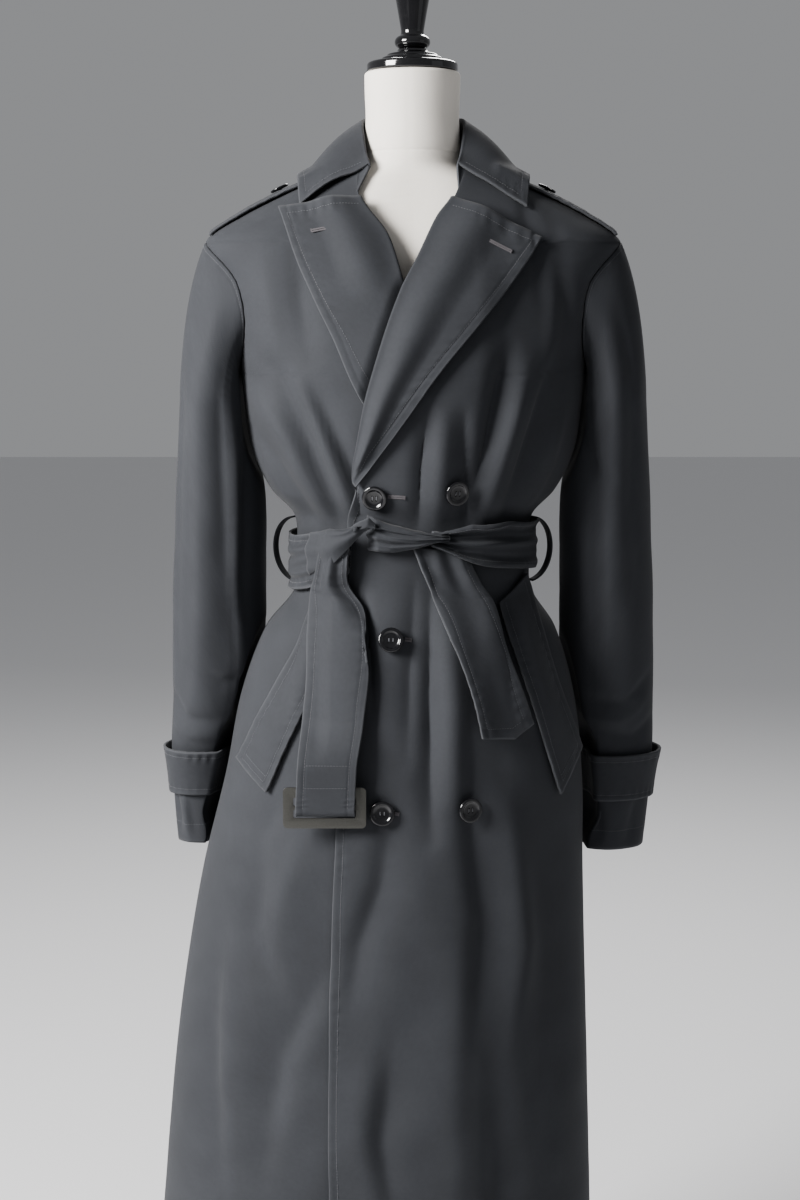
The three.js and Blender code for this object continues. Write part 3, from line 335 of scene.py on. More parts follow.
GRAIN, start, end = node_group(
    "surface grain", [("Vector", "NodeSocketVector", None), ("Scale", "NodeSocketFloat", 300.0)],
    [("Shade", "NodeSocketFloat"), ("Height", "NodeSocketFloat")])
for socket, stretch in (("Shade", 0.25), ("Height", 1.0)):
    fine = noise(GRAIN, start.outputs["Vector"], 1.0, 4.0, 0.6)
    GRAIN.links.new(calculate(GRAIN, "MULTIPLY", start.outputs["Scale"], stretch),
                    fine.node.inputs["Scale"])
    GRAIN.links.new(fine, end.inputs[socket])


def shader(name):
    """A new material, its node tree and its Principled BSDF."""
    material = bpy.data.materials.new(name)
    material.use_nodes = True
    return material, material.node_tree, material.node_tree.nodes["Principled BSDF"]


def ramp(tree, factor, low, high, start=0.0, stop=1.0):
    """A Color Ramp between two colours or two greys."""
    node = tree.nodes.new("ShaderNodeValToRGB")
    for element, place, tone in zip(node.color_ramp.elements, (start, stop), (low, high)):
        element.position = place
        element.color = (tone,) * 3 + (1,) if isinstance(tone, float) else tone + (1,)
    tree.links.new(factor, node.inputs["Fac"])
    return node.outputs["Color"]


def bump(tree, height, distance, strength, target):
    """A Bump node from a height to a shader's normal."""
    node = tree.nodes.new("ShaderNodeBump")
    node.inputs["Distance"].default_value = distance
    node.inputs["Strength"].default_value = strength
    tree.links.new(height, node.inputs["Height"])
    tree.links.new(node.outputs["Normal"], target.inputs["Normal"])


def cloth_material(name, dark, light, worn, unevenness, weave, relief, sheen):
    """Woven cloth whose colour runs from dark to light, and to the worn colour at its edges."""
    material, tree, principled = shader(name)
    place = tree.nodes.new("ShaderNodeUVMap")
    place.uv_map = "cloth"
    pattern = tree.nodes.new("ShaderNodeGroup")
    pattern.node_tree = WEAVE
    pattern.inputs["Unevenness"].default_value = unevenness
    pattern.inputs["Weave"].default_value = weave
    tree.links.new(place.outputs["UV"], pattern.inputs["Vector"])
    dyed = ramp(tree, pattern.outputs["Shade"], dark, light)
    edge = tree.nodes.new("ShaderNodeAttribute")
    edge.attribute_name = "worn"
    rub = calculate(tree, "MULTIPLY", edge.outputs["Fac"], pattern.outputs["Shade"])
    blend = tree.nodes.new("ShaderNodeMix")
    blend.data_type = "RGBA"
    tree.links.new(rub, blend.inputs["Factor"])
    tree.links.new(dyed, blend.inputs["A"])
    blend.inputs["B"].default_value = worn + (1,)
    tree.links.new(blend.outputs["Result"], principled.inputs["Base Color"])
    tree.links.new(ramp(tree, pattern.outputs["Shade"], 0.72, 0.9), principled.inputs["Roughness"])
    principled.inputs["Sheen Weight"].default_value = sheen
    principled.inputs["Sheen Roughness"].default_value = 0.45
    principled.inputs["Specular IOR Level"].default_value = 0.32
    bump(tree, pattern.outputs["Height"], relief, 0.5, principled)
    return material


def hard_material(name, dark, light, rough, grain, relief, metal=0.0, coat=0.0):
    """Lacquer, plastic or metal with a faint grain in its colour, gloss and surface."""
    material, tree, principled = shader(name)
    place = tree.nodes.new("ShaderNodeTexCoord")
    pattern = tree.nodes.new("ShaderNodeGroup")
    pattern.node_tree = GRAIN
    pattern.inputs["Scale"].default_value = grain
    tree.links.new(place.outputs["Object"], pattern.inputs["Vector"])
    tree.links.new(ramp(tree, pattern.outputs["Shade"], dark, light, 0.3, 0.7),
                   principled.inputs["Base Color"])
    tree.links.new(ramp(tree, pattern.outputs["Shade"], rough[0], rough[1], 0.3, 0.7),
                   principled.inputs["Roughness"])
    principled.inputs["Metallic"].default_value = metal
    principled.inputs["Coat Weight"].default_value = coat
    principled.inputs["Coat Roughness"].default_value = 0.06
    bump(tree, pattern.outputs["Height"], relief, 0.4, principled)
    return material


# ---------------------------------------------------------------- dress form
# A limbless padded form covered in off-white cotton, sewn down the middle and round the foot of
# the neck, under a turned black lacquered cap with a finial that screws into it.
FORM_COTTON = cloth_material("form cotton", (0.70, 0.655, 0.59), (0.90, 0.865, 0.81), (0.72, 0.68, 0.62),
                             0.3, 0.35, 0.00010, 0.1)
LACQUER = hard_material("black lacquer", (0.004, 0.004, 0.005), (0.009, 0.009, 0.010), (0.07, 0.16),
                        160.0, 0.00004, coat=1.0)
STEEL_PAINT = hard_material("black steel paint", (0.010, 0.010, 0.011), (0.022, 0.022, 0.023),
                            (0.3, 0.45), 700.0, 0.0001)
FORM_TOP, FORM_BOTTOM, NECK_RADIUS, NECK_SEAM = 1.596, 0.905, 0.0525, 1.509


def grid_mesh(name, points, closed=False, flip=False, capped=False, rubbed=(0, 1, 2, 3)):
    """A mesh from a grid of points [row, column], with its size along and across as its UV.

    The rubbed borders (first row, last row, first column, last column) have pale worn edges."""
    rows, columns = points.shape[:2]
    along = np.zeros((rows, columns))
    along[1:] = np.cumsum(np.linalg.norm(np.diff(points, axis=0), axis=-1), axis=0)
    ring = np.concatenate([points, points[:, :1]], 1) if closed else points
    across = np.zeros(ring.shape[:2])
    across[:, 1:] = np.cumsum(np.linalg.norm(np.diff(ring, axis=1), axis=-1), axis=1)
    spans = columns if closed else columns - 1
    faces, uvs = [], []
    for i in range(rows - 1):
        for j in range(spans):
            k = (j + 1) % columns
            corners = [(i, j, j), (i, k, j + 1), (i + 1, k, j + 1), (i + 1, j, j)]
            if flip:
                corners.reverse()
            faces.append([r * columns + c for r, c, _ in corners])
            uvs += [(across[r, w], along[r, c]) for r, c, w in corners]
    if capped:
        bottom = list(range(columns))
        top = list(range((rows - 1) * columns, rows * columns))
        for cap in ((bottom[::-1], top) if not flip else (bottom, top[::-1])):
            faces.append(cap)
            uvs += [(points.reshape(-1, 3)[v][0], points.reshape(-1, 3)[v][1]) for v in cap]
    mesh = bpy.data.meshes.new(name)
    mesh.from_pydata(points.reshape(-1, 3).tolist(), [], faces)
    mesh.uv_layers.new(name="cloth").data.foreach_set("uv", np.array(uvs).ravel())
    border = [along, along[-1:] - along]
    if not closed:
        border += [across, across[:, -1:] - across]
    nearest = np.min([border[k] for k in rubbed if k < len(border)], axis=0)
    worn = np.exp(-nearest[:, :columns] / 0.0015)
    mesh.attributes.new("worn", "FLOAT", "POINT").data.foreach_set("value", worn.ravel())
    mesh.shade_smooth()
    piece = bpy.data.objects.new(name, mesh)
    scene.collection.objects.link(piece)
    return piece


def torso_point(angle, z):
    """The form: well inside the coat below the chest, just under it at the shoulders."""
    angle, z = pair(angle, z)
    held = np.minimum(z, NECK)
    plain = girth(angle, held, 0.024)
    seated = skin(angle, held, -(0.0026 + 0.005 * np.sqrt(np.abs(np.cos(angle)))))
    plain = mix(plain, seated, ease(1.345, 1.425, z)[..., None])
    rounded = 0.004 * (1 - np.sqrt(np.clip(1 - np.clip((z - FORM_TOP + 0.004) / 0.004, 0, 1) ** 2, 0, 1)))
    radius = NECK_RADIUS - rounded - 0.0012 * np.exp(-((z - 1.548) / 0.02) ** 2)
    radius -= 0.0009 * np.exp(-np.abs(z - NECK_SEAM) / 0.0016)
    radius -= 0.0006 * np.exp(-(np.sin(angle + 0.08) * NECK_RADIUS / 0.0012) ** 2) * (np.cos(angle) > 0)
    neck = np.stack([radius * np.sin(angle) - 0.001, -radius * np.cos(angle) + 0.001, z], -1)
    return mix(plain, neck, ease(1.480, 1.503, z)[..., None])


around = np.linspace(0, 2 * math.pi, 120, endpoint=False)
heights = np.concatenate([np.linspace(FORM_BOTTOM, 1.478, 90), np.linspace(1.481, 1.530, 50),
                          np.linspace(1.533, FORM_TOP - 0.005, 14),
                          FORM_TOP - 0.004 + 0.004 * np.sin(np.linspace(0, math.pi / 2, 7))])
turn, height = np.meshgrid(around, heights)
torso = grid_mesh("form_torso_cover", torso_point(turn, height), closed=True, capped=True)
torso.data.materials.append(FORM_COTTON)
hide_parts("form_torso")
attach(torso, "coat_and_form")


def turned(name, node, profile, foot, sides=96):
    """A piece turned on a lathe: a disc drawn up through each (radius, height) of its profile."""
    bpy.ops.object.select_all(action="DESELECT")
    bpy.ops.mesh.primitive_circle_add(vertices=sides, radius=profile[0][0], fill_type="NGON", location=foot)
    piece = bpy.context.object
    piece.name = name
    bpy.ops.object.transform_apply(location=True, rotation=True, scale=True)
    bpy.ops.object.mode_set(mode="EDIT")
    bpy.ops.mesh.select_all(action="SELECT")
    for (r0, h0), (r1, h1) in zip(profile, profile[1:]):
        bpy.ops.mesh.extrude_region_move(TRANSFORM_OT_translate={"value": (0, 0, h1 - h0)})
        share = r1 / r0
        bpy.ops.transform.resize(value=(share, share, 1), center_override=foot)
    bpy.ops.mesh.select_all(action="SELECT")
    bpy.ops.mesh.normals_make_consistent(inside=False)
    bpy.ops.object.mode_set(mode="OBJECT")
    bpy.ops.object.shade_smooth_by_angle(angle=math.radians(32))
    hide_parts(node)
    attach(piece, "coat_and_form")
    return piece


def rounded_profile(corners, steps=5):
    """A profile whose corners are rounded; each corner is (radius, height, rounding)."""
    line = []
    for i, (r, h, size) in enumerate(corners):
        here = np.array((r, h))
        if size == 0 or i in (0, len(corners) - 1):
            line.append(tuple(here))
            continue
        before, after = (np.array(corners[i + d][:2]) - here for d in (-1, 1))
        first = here + before * min(0.49, size / np.linalg.norm(before))
        last = here + after * min(0.49, size / np.linalg.norm(after))
        for t in np.linspace(0, 1, steps):
            line.append(tuple((1 - t) ** 2 * first + 2 * t * (1 - t) * here + t * t * last))
    return line


cap = turned("neck_cap_turned", "neck_cap", rounded_profile([
    (0.0485, 0, 0), (0.0500, 0.0015, 0.001), (0.0500, 0.0085, 0.002), (0.0470, 0.0105, 0.002),
    (0.0345, 0.0118, 0.001), (0.0335, 0.0150, 0.0012), (0.0290, 0.0162, 0.001), (0.0275, 0.0188, 0.001),
    (0.0222, 0.0200, 0.001), (0.0175, 0.0212, 0.001), (0.0160, 0.0240, 0), (0.0020, 0.0240, 0)]),
    (-0.001, 0.001, FORM_TOP + 0.0003))
finial = turned("finial_turned", "finial", rounded_profile([
    (0.0140, 0, 0), (0.0188, 0.0035, 0.003), (0.0200, 0.0080, 0.003), (0.0180, 0.0125, 0.003),
    (0.0132, 0.0150, 0.0012), (0.0124, 0.0185, 0.002), (0.0150, 0.0340, 0.008), (0.0190, 0.0560, 0.008),
    (0.0215, 0.0700, 0.005), (0.0210, 0.0780, 0.005), (0.0170, 0.0845, 0.004), (0.0090, 0.0885, 0.003),
    (0.0010, 0.0890, 0)]), (-0.001, 0.001, FORM_TOP + 0.0246))
for piece in (cap, finial):
    piece.data.materials.append(LACQUER)

# ---------------------------------------------------------------- pole and base
# A painted steel pole with a flange that carries the form, standing in a round weighted base.
pole = turned("stand_pole_tube", "stand_pole", rounded_profile([
    (0.0120, 0, 0), (0.0160, 0.0008, 0.001), (0.0160, 0.8764, 0.001), (0.0292, 0.8770, 0.001),
    (0.0300, 0.8790, 0.001), (0.0300, 0.8830, 0.001), (0.0280, 0.8844, 0), (0.0020, 0.8844, 0)]),
    (0, 0, 0.0203), 64)
base = turned("stand_base_plate", "stand_base", rounded_profile([
    (0.1870, 0, 0), (0.1900, 0.0012, 0.0015), (0.1900, 0.0060, 0.003), (0.1860, 0.0090, 0.004),
    (0.0600, 0.0160, 0.02), (0.0275, 0.0196, 0.004), (0.0255, 0.0200, 0), (0.0170, 0.0200, 0)]),
    (0, 0, 0), 160)
for piece in (pole, base):
    piece.data.materials.append(STEEL_PAINT)

# ---------------------------------------------------------------- fronts and back
# Washed cotton gabardine in charcoal. The left front laps over the right one; each front edge,
# the hem and the seams are sewn, and the stitching draws small ripples into the cloth.
GABARDINE = cloth_material("charcoal gabardine", (0.0180, 0.0192, 0.0226), (0.0600, 0.0632, 0.0712),
                           (0.096, 0.099, 0.107), 0.36, 0.5, 0.00018, 0.07)
THREAD = cloth_material("sewing thread", (0.075, 0.077, 0.085), (0.150, 0.152, 0.162), (0.15, 0.15, 0.16),
                        0.3, 0.2, 0.00005, 0.2)
ARMHOLE_MIDDLE, ARMHOLE_HALF, ARMHOLE_DEPTH = (SHOULDER + UNDERARM) / 2, (SHOULDER - UNDERARM) / 2, 0.058
LAPOVER = 0.0052             # how far the left front stands off the coat's surface
EDGE_STITCH = 0.0078         # how far the stitches lie from a front's edge
HEM_DEPTH = 0.030
LEFT_RIM = [(0.290, -0.091), (0.600, -0.090), (0.790, -0.082), (1.000, -0.074), (1.154, -0.064),
            (1.235, -0.049), (1.285, -0.035), (1.355, -0.011), (1.388, 0.006), (1.434, 0.027),
            (1.455, 0.042), (1.497, 0.060)]
RIGHT_RIM = [(0.290, 0.062), (1.154, 0.064), (1.235, 0.045), (1.300, 0.020), (1.355, -0.009),
             (1.415, -0.030), (1.455, -0.057), (1.497, -0.060)]


def side_angle(z, facing):
    """The girth angle of the side seam, the armhole's rim or the shoulder seam."""
    share = np.clip((z - ARMHOLE_MIDDLE) / ARMHOLE_HALF, -1, 1)
    depth = ARMHOLE_DEPTH * np.sqrt(1 - share**2)
    along = depth / read(GIRTH, 3 if facing == FRONT else 4, z)
    return np.arctan2((1 - along**SQUARENESS) ** (1 / SQUARENESS), -facing * along)


def lapover(x, z, crosses_rim=True):
    """The lift of the left front, and of what lies on it; what crosses its edge steps down there."""
    edge = read(LEFT_RIM, 1, z)
    near = ease(edge - 0.022, edge - 0.004, x) if crosses_rim else 1
    return LAPOVER * (1 - ease(0.066, 0.100, x)) * (1 - ease(1.365, 1.435, z)) * near


def underlap(x, z):
    """How far the right front sinks under the left one."""
    edge = read(LEFT_RIM, 1, z)
    return 0.0018 * ease(edge - 0.005, edge + 0.030, x) * (1 - ease(1.345, 1.400, z))


def on_front(x, z, lift, crosses_rim=True, follow=1.0):
    """A point of a piece that lies on the fronts."""
    x, z = pair(x, z)
    return skin(front_angle(x, z), z, lift + lapover(x, z, crosses_rim), follow)


def pucker(distance, along, phase=0.0, size=0.0008):
    """The groove of a row of stitches, and the uneven ripples beside it."""
    wave = np.sin(along / 0.0021 + 2.1 * np.sin(along / 0.013 + phase) + phase)
    wave *= 0.65 + 0.35 * np.sin(along / 0.031 + 2 * phase)
    return size * wave * np.exp(-(distance / 0.0058) ** 2) - 0.0005 * np.exp(-(distance / 0.0013) ** 2)


def cloth(name, nodes, surface, columns, rows, thickness=0.002,
          closed=False, flip=False, rubbed=(0, 1, 2, 3)):
    """A sheet of cloth from surface(u, v), thickened inwards, that stands for some CAD nodes."""
    u, v = np.meshgrid(columns, rows)
    piece = grid_mesh(name, surface(u, v), closed, flip, rubbed=rubbed)
    piece.data.materials.append(GABARDINE)
    bpy.ops.object.select_all(action="DESELECT")
    bpy.context.view_layer.objects.active = piece
    piece.select_set(True)
    wall = piece.modifiers.new("thickness", "SOLIDIFY")
    wall.thickness, wall.offset = thickness, -1
    bpy.ops.object.modifier_apply(modifier=wall.name)
    for node in nodes:
        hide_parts(node)
    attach(piece, "coat_and_form")
    return piece


stitching = []               # (middle, along, across, out, length, width) of every stitch


def stitch_row(surface, u, v, flip=False, pitch=0.0032, length=0.0023, width=0.00055, raised=0.0002,
               crosswise=False):
    """A row of stitches along a path (u, v) on a surface, or side by side across it."""
    u, v = pair(u, v)
    step = 2e-4
    path = surface(u, v)
    out = outward(surface(u + step, v) - surface(u - step, v), surface(u, v + step) - surface(u, v - step))
    out *= -1 if flip else 1
    far = np.concatenate([[0], np.cumsum(np.linalg.norm(np.diff(path, axis=0), axis=-1))])
    count = max(1, int(far[-1] / pitch))
    for k in range(count):
        middle, ahead = ([np.interp(at, far, path[:, i]) for i in range(3)]
                         for at in ((k + 0.5) * pitch, (k + 0.5) * pitch + length / 2))
        normal = np.array([np.interp((k + 0.5) * pitch, far, out[:, i]) for i in range(3)])
        middle = np.array(middle)
        forward = np.array(ahead) - middle
        forward /= np.linalg.norm(forward) + 1e-12
        side = np.cross(normal, forward)
        if crosswise:
            forward, side = side, forward
        stitching.append((middle + normal * raised, forward * length / 2, side * width / 2, normal * 0.0004))


def sew(name, material=THREAD):
    """Joins the stitches so far into one piece, each a small bar with rounded-off ends."""
    verts, faces = [], []
    for middle, forward, side, out in stitching:
        first = len(verts)
        for share, wide, high in ((-1, 0.5, -0.6), (-0.6, 1, 0.5), (0.6, 1, 0.5), (1, 0.5, -0.6)):
            verts += [middle + forward * share + side * wide * s + out * high for s in (-1, 1)]
        verts += [middle + forward * share - out for share in (-0.9, 0.9)]
        a, b, c, d, e, f, g, h, low, top = range(first, first + 10)
        faces += [(a, b, d, c), (c, d, f, e), (e, f, h, g), (a, c, e, g, top, low), (b, low, top, h, f, d),
                  (a, low, b), (g, h, top)]
    mesh = bpy.data.meshes.new(name)
    mesh.from_pydata([tuple(v) for v in verts], [], faces)
    layer = mesh.uv_layers.new(name="cloth")
    for loop in mesh.loops:
        layer.data[loop.index].uv = mesh.vertices[loop.vertex_index].co.xz
    build = bmesh.new()
    build.from_mesh(mesh)
    bmesh.ops.recalc_face_normals(build, faces=build.faces)
    build.to_mesh(mesh)
    build.free()
    mesh.materials.append(material)
    piece = bpy.data.objects.new(name, mesh)
    scene.collection.objects.link(piece)
    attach(piece, "coat_and_form")
    stitching.clear()
    return piece


def front_panel(rim, side):
    """One front, from its edge to the side seam, the armhole and the shoulder seam."""
    def surface(u, v):
        z = mix(HEM, NECK, v)
        start = front_angle(read(rim, 1, z), z)
        angle = mix(start, side * side_angle(z, FRONT), u)
        x = girth(angle, z)[..., 0]
        lift = lapover(x, z, False) if side == LEFT else -underlap(x, z)
        inwards = np.abs(x - read(rim, 1, z))
        sewn = pucker(inwards - EDGE_STITCH, z, side) * (z < LAPEL_BREAK + 0.02)
        sewn += pucker(z - HEM - HEM_DEPTH, x, 2 + side, 0.0004)
        sewn += pucker((1 - u) * 0.2 - 0.004, z, 1.3, 0.0004) * (z > UNDERARM - 0.01)
        return skin(angle, z, lift + sewn)
    return surface


def closer_at_edge(count):
    """Shares of a front's width, closer together near its edge."""
    return np.linspace(0, 1, count) ** 1.3


body_rows = np.linspace(0, 1, 300)
left_front, right_front = front_panel(LEFT_RIM, LEFT), front_panel(RIGHT_RIM, RIGHT)
cloth("front_left_cloth", ["front_left"], left_front, closer_at_edge(96), body_rows,
      rubbed=(0, 2))
cloth("front_right_cloth", ["front_right"], right_front, closer_at_edge(84), body_rows,
      flip=True, rubbed=(0, 2))


def back_surface(u, v):
    z = mix(HEM, NECK, v)
    start = side_angle(z, BACK)
    angle = mix(start, 2 * math.pi - start, u)
    x = girth(angle, z)[..., 0]
    sewn = pucker(x - read(GIRTH, 1, z), z, 0.6, 0.0004) + pucker(z - HEM - HEM_DEPTH, x, 3, 0.0004)
    return skin(angle, z, sewn)


cloth("back_cloth", ["back"], back_surface, np.linspace(0, 1, 104), body_rows,
      rubbed=(0,))

FRONT_WIDTH = 0.36           # from the left front's edge to its side seam
up_the_edge = np.linspace(0.0, (LAPEL_BREAK - HEM) / (NECK - HEM), 900)
stitch_row(left_front, EDGE_STITCH / FRONT_WIDTH + 0 * up_the_edge, up_the_edge)
hem_row = np.linspace(0.01, 0.99, 500)
above_hem = HEM_DEPTH / (NECK - HEM) + 0 * hem_row
stitch_row(left_front, hem_row, above_hem)
stitch_row(right_front, hem_row, above_hem, flip=True)
stitch_row(back_surface, hem_row, above_hem)
sew("body_stitches")

# ---------------------------------------------------------------- lapels
# Each lapel is the front's own cloth turned back over a soft roll, faced with a second layer and
# stitched round its edge. A worked buttonhole lies near each tip.
LEFT_LAPEL = [(1.152, -0.059), (1.201, -0.024), (1.269, 0.027), (1.347, 0.090), (1.411, 0.137)]
RIGHT_LAPEL = [(1.152, 0.055), (1.190, -0.006), (1.234, -0.049), (1.316, -0.088), (1.378, -0.119),
               (1.442, -0.143)]
BUTTONHOLE_THREAD = cloth_material("buttonhole twist", (0.074, 0.069, 0.074), (0.135, 0.126, 0.134),
                                   (0.2, 0.18, 0.2), 0.3, 0.2, 0.00005, 0.2)


def lapel(rim, edge, side):
    """A lapel from the fold (u = 0) round its roll to its edge (u = 1), top to bottom."""
    edge_top = edge[-1][0]

    def surface(u, v):
        z_fold, z_edge = mix(1.455, LAPEL_BREAK + 0.003, v), mix(edge_top, LAPEL_BREAK - 0.001, v)
        out = np.clip((u - 0.10) / 0.90, -1, 1)
        flat = np.clip(out, 0, 1)
        radius = mix(0.0030, 0.0012, ease(0.6, 1.0, v))
        round_the_fold = math.pi * np.clip(1 - u / 0.10, 0, 1)
        x_fold, x_edge = read(rim, 1, z_fold), read(edge, 1, z_edge)
        x = mix(x_fold, x_edge, flat) - side * radius * np.sin(round_the_fold)
        z = mix(z_fold, z_edge, flat)
        roll = 0.0070 * np.sin(math.pi * np.clip(flat * 1.45, 0, 1)) ** 2 * ease(0, 0.12, 1 - v)
        if side == RIGHT:
            roll = roll * ease(1.330, 1.390, z)
        lift = radius * (1 + np.cos(round_the_fold)) + 0.0022 + roll + 0.0012 * flat
        width = np.abs(x_edge - x_fold) + 1e-4
        lift = lift + pucker((1 - flat) * width - 0.0085, z * 1.2, 0.4 + side, 0.0007)
        lift = lift + pucker(v * 0.30 - 0.0085, x, 1.9, 0.0006) * ease(0.2, 0.35, flat)
        if side == LEFT:
            return on_front(x, z, lift, False, 0.35)
        rim_over = read(LEFT_RIM, 1, z)
        hidden = ease(rim_over - 0.014, rim_over + 0.004, x) * (1 - ease(1.350, 1.395, z))
        lift = mix(lift + 0.001, 0.0030 + 0.0002 * np.sin(z * 90), hidden)
        return skin(front_angle(x, z), z, lift - underlap(x, z), mix(0.35, 1.0, hidden))
    return surface


lapel_columns = np.concatenate([np.linspace(0, 0.10, 9)[:-1], np.linspace(0.10, 1, 62)])
left_lapel, right_lapel = lapel(LEFT_RIM, LEFT_LAPEL, LEFT), lapel(RIGHT_RIM, RIGHT_LAPEL, RIGHT)
for name, surface, side in (("lapel_left", left_lapel, LEFT), ("lapel_right", right_lapel, RIGHT)):
    cloth(name + "_cloth", [name], surface, lapel_columns, np.linspace(0, 1, 110),
          flip=side == LEFT, thickness=0.0022)
    along = np.linspace(0.03, 0.95, 400)
    width = np.interp(along, [0, 1], [0.125, 0.006])
    stitch_row(surface, 1 - 0.0085 / np.maximum(width, 0.02), along, flip=side == LEFT)
    top = np.linspace(0.14, 0.95, 150)
    stitch_row(surface, top, 0.028 + 0 * top, flip=side == LEFT)
sew("lapel_stitches")


def buttonhole(start, end, lift, crosses_rim=True, follow=1.0):
    """Close-set stitches across both sides of a slit from start to end, and a bar over its end."""
    (x0, z0), (x1, z1) = start, end
    reach = math.hypot(x1 - x0, z1 - z0)
    share = np.linspace(0, 1, 24)
    surface = lambda u, v: on_front(u, v, lift, crosses_rim, follow)
    for side in (-1, 1):
        x = mix(x0, x1, share) - side * 0.0010 * (z1 - z0) / reach
        z = mix(z0, z1, share) + side * 0.0010 * (x1 - x0) / reach
        stitch_row(surface, x, z, pitch=0.0008, length=0.0022, width=0.0008, raised=0.0003, crosswise=True)
    bar = np.array([-0.0024, 0.0024])
    stitch_row(surface, x1 - bar * (z1 - z0) / reach, z1 + bar * (x1 - x0) / reach, pitch=0.0046,
               length=0.0046, width=0.0014, raised=0.0005)


buttonhole((-0.072, 1.423), (-0.107, 1.416), 0.0102, False, 0.35)
buttonhole((0.069, 1.411), (0.102, 1.395), 0.0102, False, 0.35)
sew("lapel_buttonholes", BUTTONHOLE_THREAD)

# ---------------------------------------------------------------- collar
# A turned-down collar in one sheet: its stand rises from the neck seam, rolls over and falls over
# the shoulders, and its outer edge and points are stitched all round.
# from the middle of the back to the front: where it folds (x, y, z) and where its edge lies
COLLAR = [
    (0, 0, 0.061, 1.548, 0, 0.096, 1.490), (0.35, 0.043, 0.044, 1.548, 0.080, 0.074, 1.480),
    (0.62, 0.0575, 0.008, 1.545, 0.119, 0.022, 1.478), (0.82, 0.057, -0.022, 1.526, 0.127, -0.020, 1.470),
    (1, 0.050, -0.052, 1.484, 0.123, -0.060, 1.450),
]


def shoulder_height(x, y, lowest=UNDERARM):
    """The height of the coat's shoulder over a point of the ground plan, found by halving.

    The search starts at the lowest height, because the coat is widest at the shoulder."""
    low, high = np.full_like(x, lowest), np.full_like(x, NECK)
    for _ in range(28):
        middle = (low + high) / 2
        depth = np.where(y < 0, read(GIRTH, 3, middle), read(GIRTH, 4, middle))
        inside = (np.abs(x) / read(GIRTH, 2, middle)) ** SQUARENESS + (np.abs(y) / depth) ** SQUARENESS <= 1
        low, high = np.where(inside, middle, low), np.where(inside, high, middle)
    return low


def collar_fall(along, across):
    s, side = np.abs(along), np.where(along < 0, -1.0, 1.0)
    fold = np.stack([side * read(COLLAR, 1, s), read(COLLAR, 2, s), read(COLLAR, 3, s)], -1)
    drop = 0.014 * ease(0.7, 1, s) * (along > 0)
    edge = np.stack([side * read(COLLAR, 4, s), read(COLLAR, 5, s), read(COLLAR, 6, s) - drop], -1)
    point = mix(fold, edge, across[..., None])
    point[..., 2] += 0.010 * np.sin(math.pi * np.clip(across, 0, 1))
    over_strap = 0.009 * ease(0.075, 0.095, np.abs(point[..., 0])) * (
        1 - ease(0.036, 0.052, np.abs(point[..., 1])))
    least = shoulder_height(point[..., 0], point[..., 1]) + 0.006 + over_strap
    gap = point[..., 2] - least
    point[..., 2] = least + 0.5 * (gap + np.sqrt(gap**2 + 0.004**2))
    return point


def collar_surface(u, v):
    """v runs up the stand (to 0.3), over the roll (to 0.4) and down the fall (to 1)."""
    u, v = pair(u, v)
    along = mix(-1.0, 1.0, u)
    s, side = np.abs(along), np.where(along < 0, -1.0, 1.0)
    angle = side * mix(math.pi, 1.2, np.clip(s / 0.72, 0, 1))
    foot = girth(angle, NECK + 0 * angle, 0.0015)
    z = mix(NECK + 0.002, 1.458, ease(0.80, 1, s))
    rim = np.where(along > 0, read(LEFT_RIM, 1, z), read(RIGHT_RIM, 1, z))
    foot = mix(foot, skin(front_angle(rim + side * 0.005, z), z, -0.0026), ease(0.70, 0.84, s)[..., None])
    fold = collar_fall(along, 0 * s)
    inside = fold.copy()
    inside[..., 2] -= 0.003
    inside[..., 0] -= side * 0.0042 * np.clip(s * 3, 0, 1)
    inside[..., 1] -= 0.0042 * (1 - ease(0.3, 0.6, s))
    stand = mix(foot, inside, np.clip(v / 0.3, 0, 1)[..., None])
    over = np.clip((v - 0.3) / 0.1, 0, 1)
    roll = mix(inside, fold, over[..., None])
    roll[..., 2] += 0.0022 * np.sin(math.pi * over)
    across = np.clip((v - 0.4) / 0.6, 0, 1)
    width = np.linalg.norm(collar_fall(along, 1 + 0 * s) - fold, axis=-1)
    fall = collar_fall(along, across)
    sewn = pucker((1 - across) * width - 0.0090, along * 0.25, 0.7, 0.0008)
    sewn += pucker((1 - s) * 0.25 - 0.0080, across * 0.08, 2.2, 0.0005) * (across > 0.02)
    fall[..., 2] += sewn
    part = v[..., None]
    return np.where(part < 0.3, stand, np.where(part < 0.4, roll, fall))


collar_rows = np.concatenate([np.linspace(0, 0.3, 12)[:-1], np.linspace(0.3, 0.4, 9)[:-1],
                              np.linspace(0.4, 1, 46)])
cloth("collar_cloth", ["collar", "collar_stand"], collar_surface, np.linspace(0, 1, 180), collar_rows,
      thickness=0.0024)
along = np.linspace(0.02, 0.98, 700)
stitch_row(collar_surface, along, 1 - 0.6 * 0.0090 / np.interp(np.abs(2 * along - 1), [0, 0.6, 1],
                                                             [0.068, 0.09, 0.082]))
for share in (0.016, 0.984):
    down = np.linspace(0.44, 0.93, 120)
    stitch_row(collar_surface, share + 0 * down, down)
sew("collar_stitches")

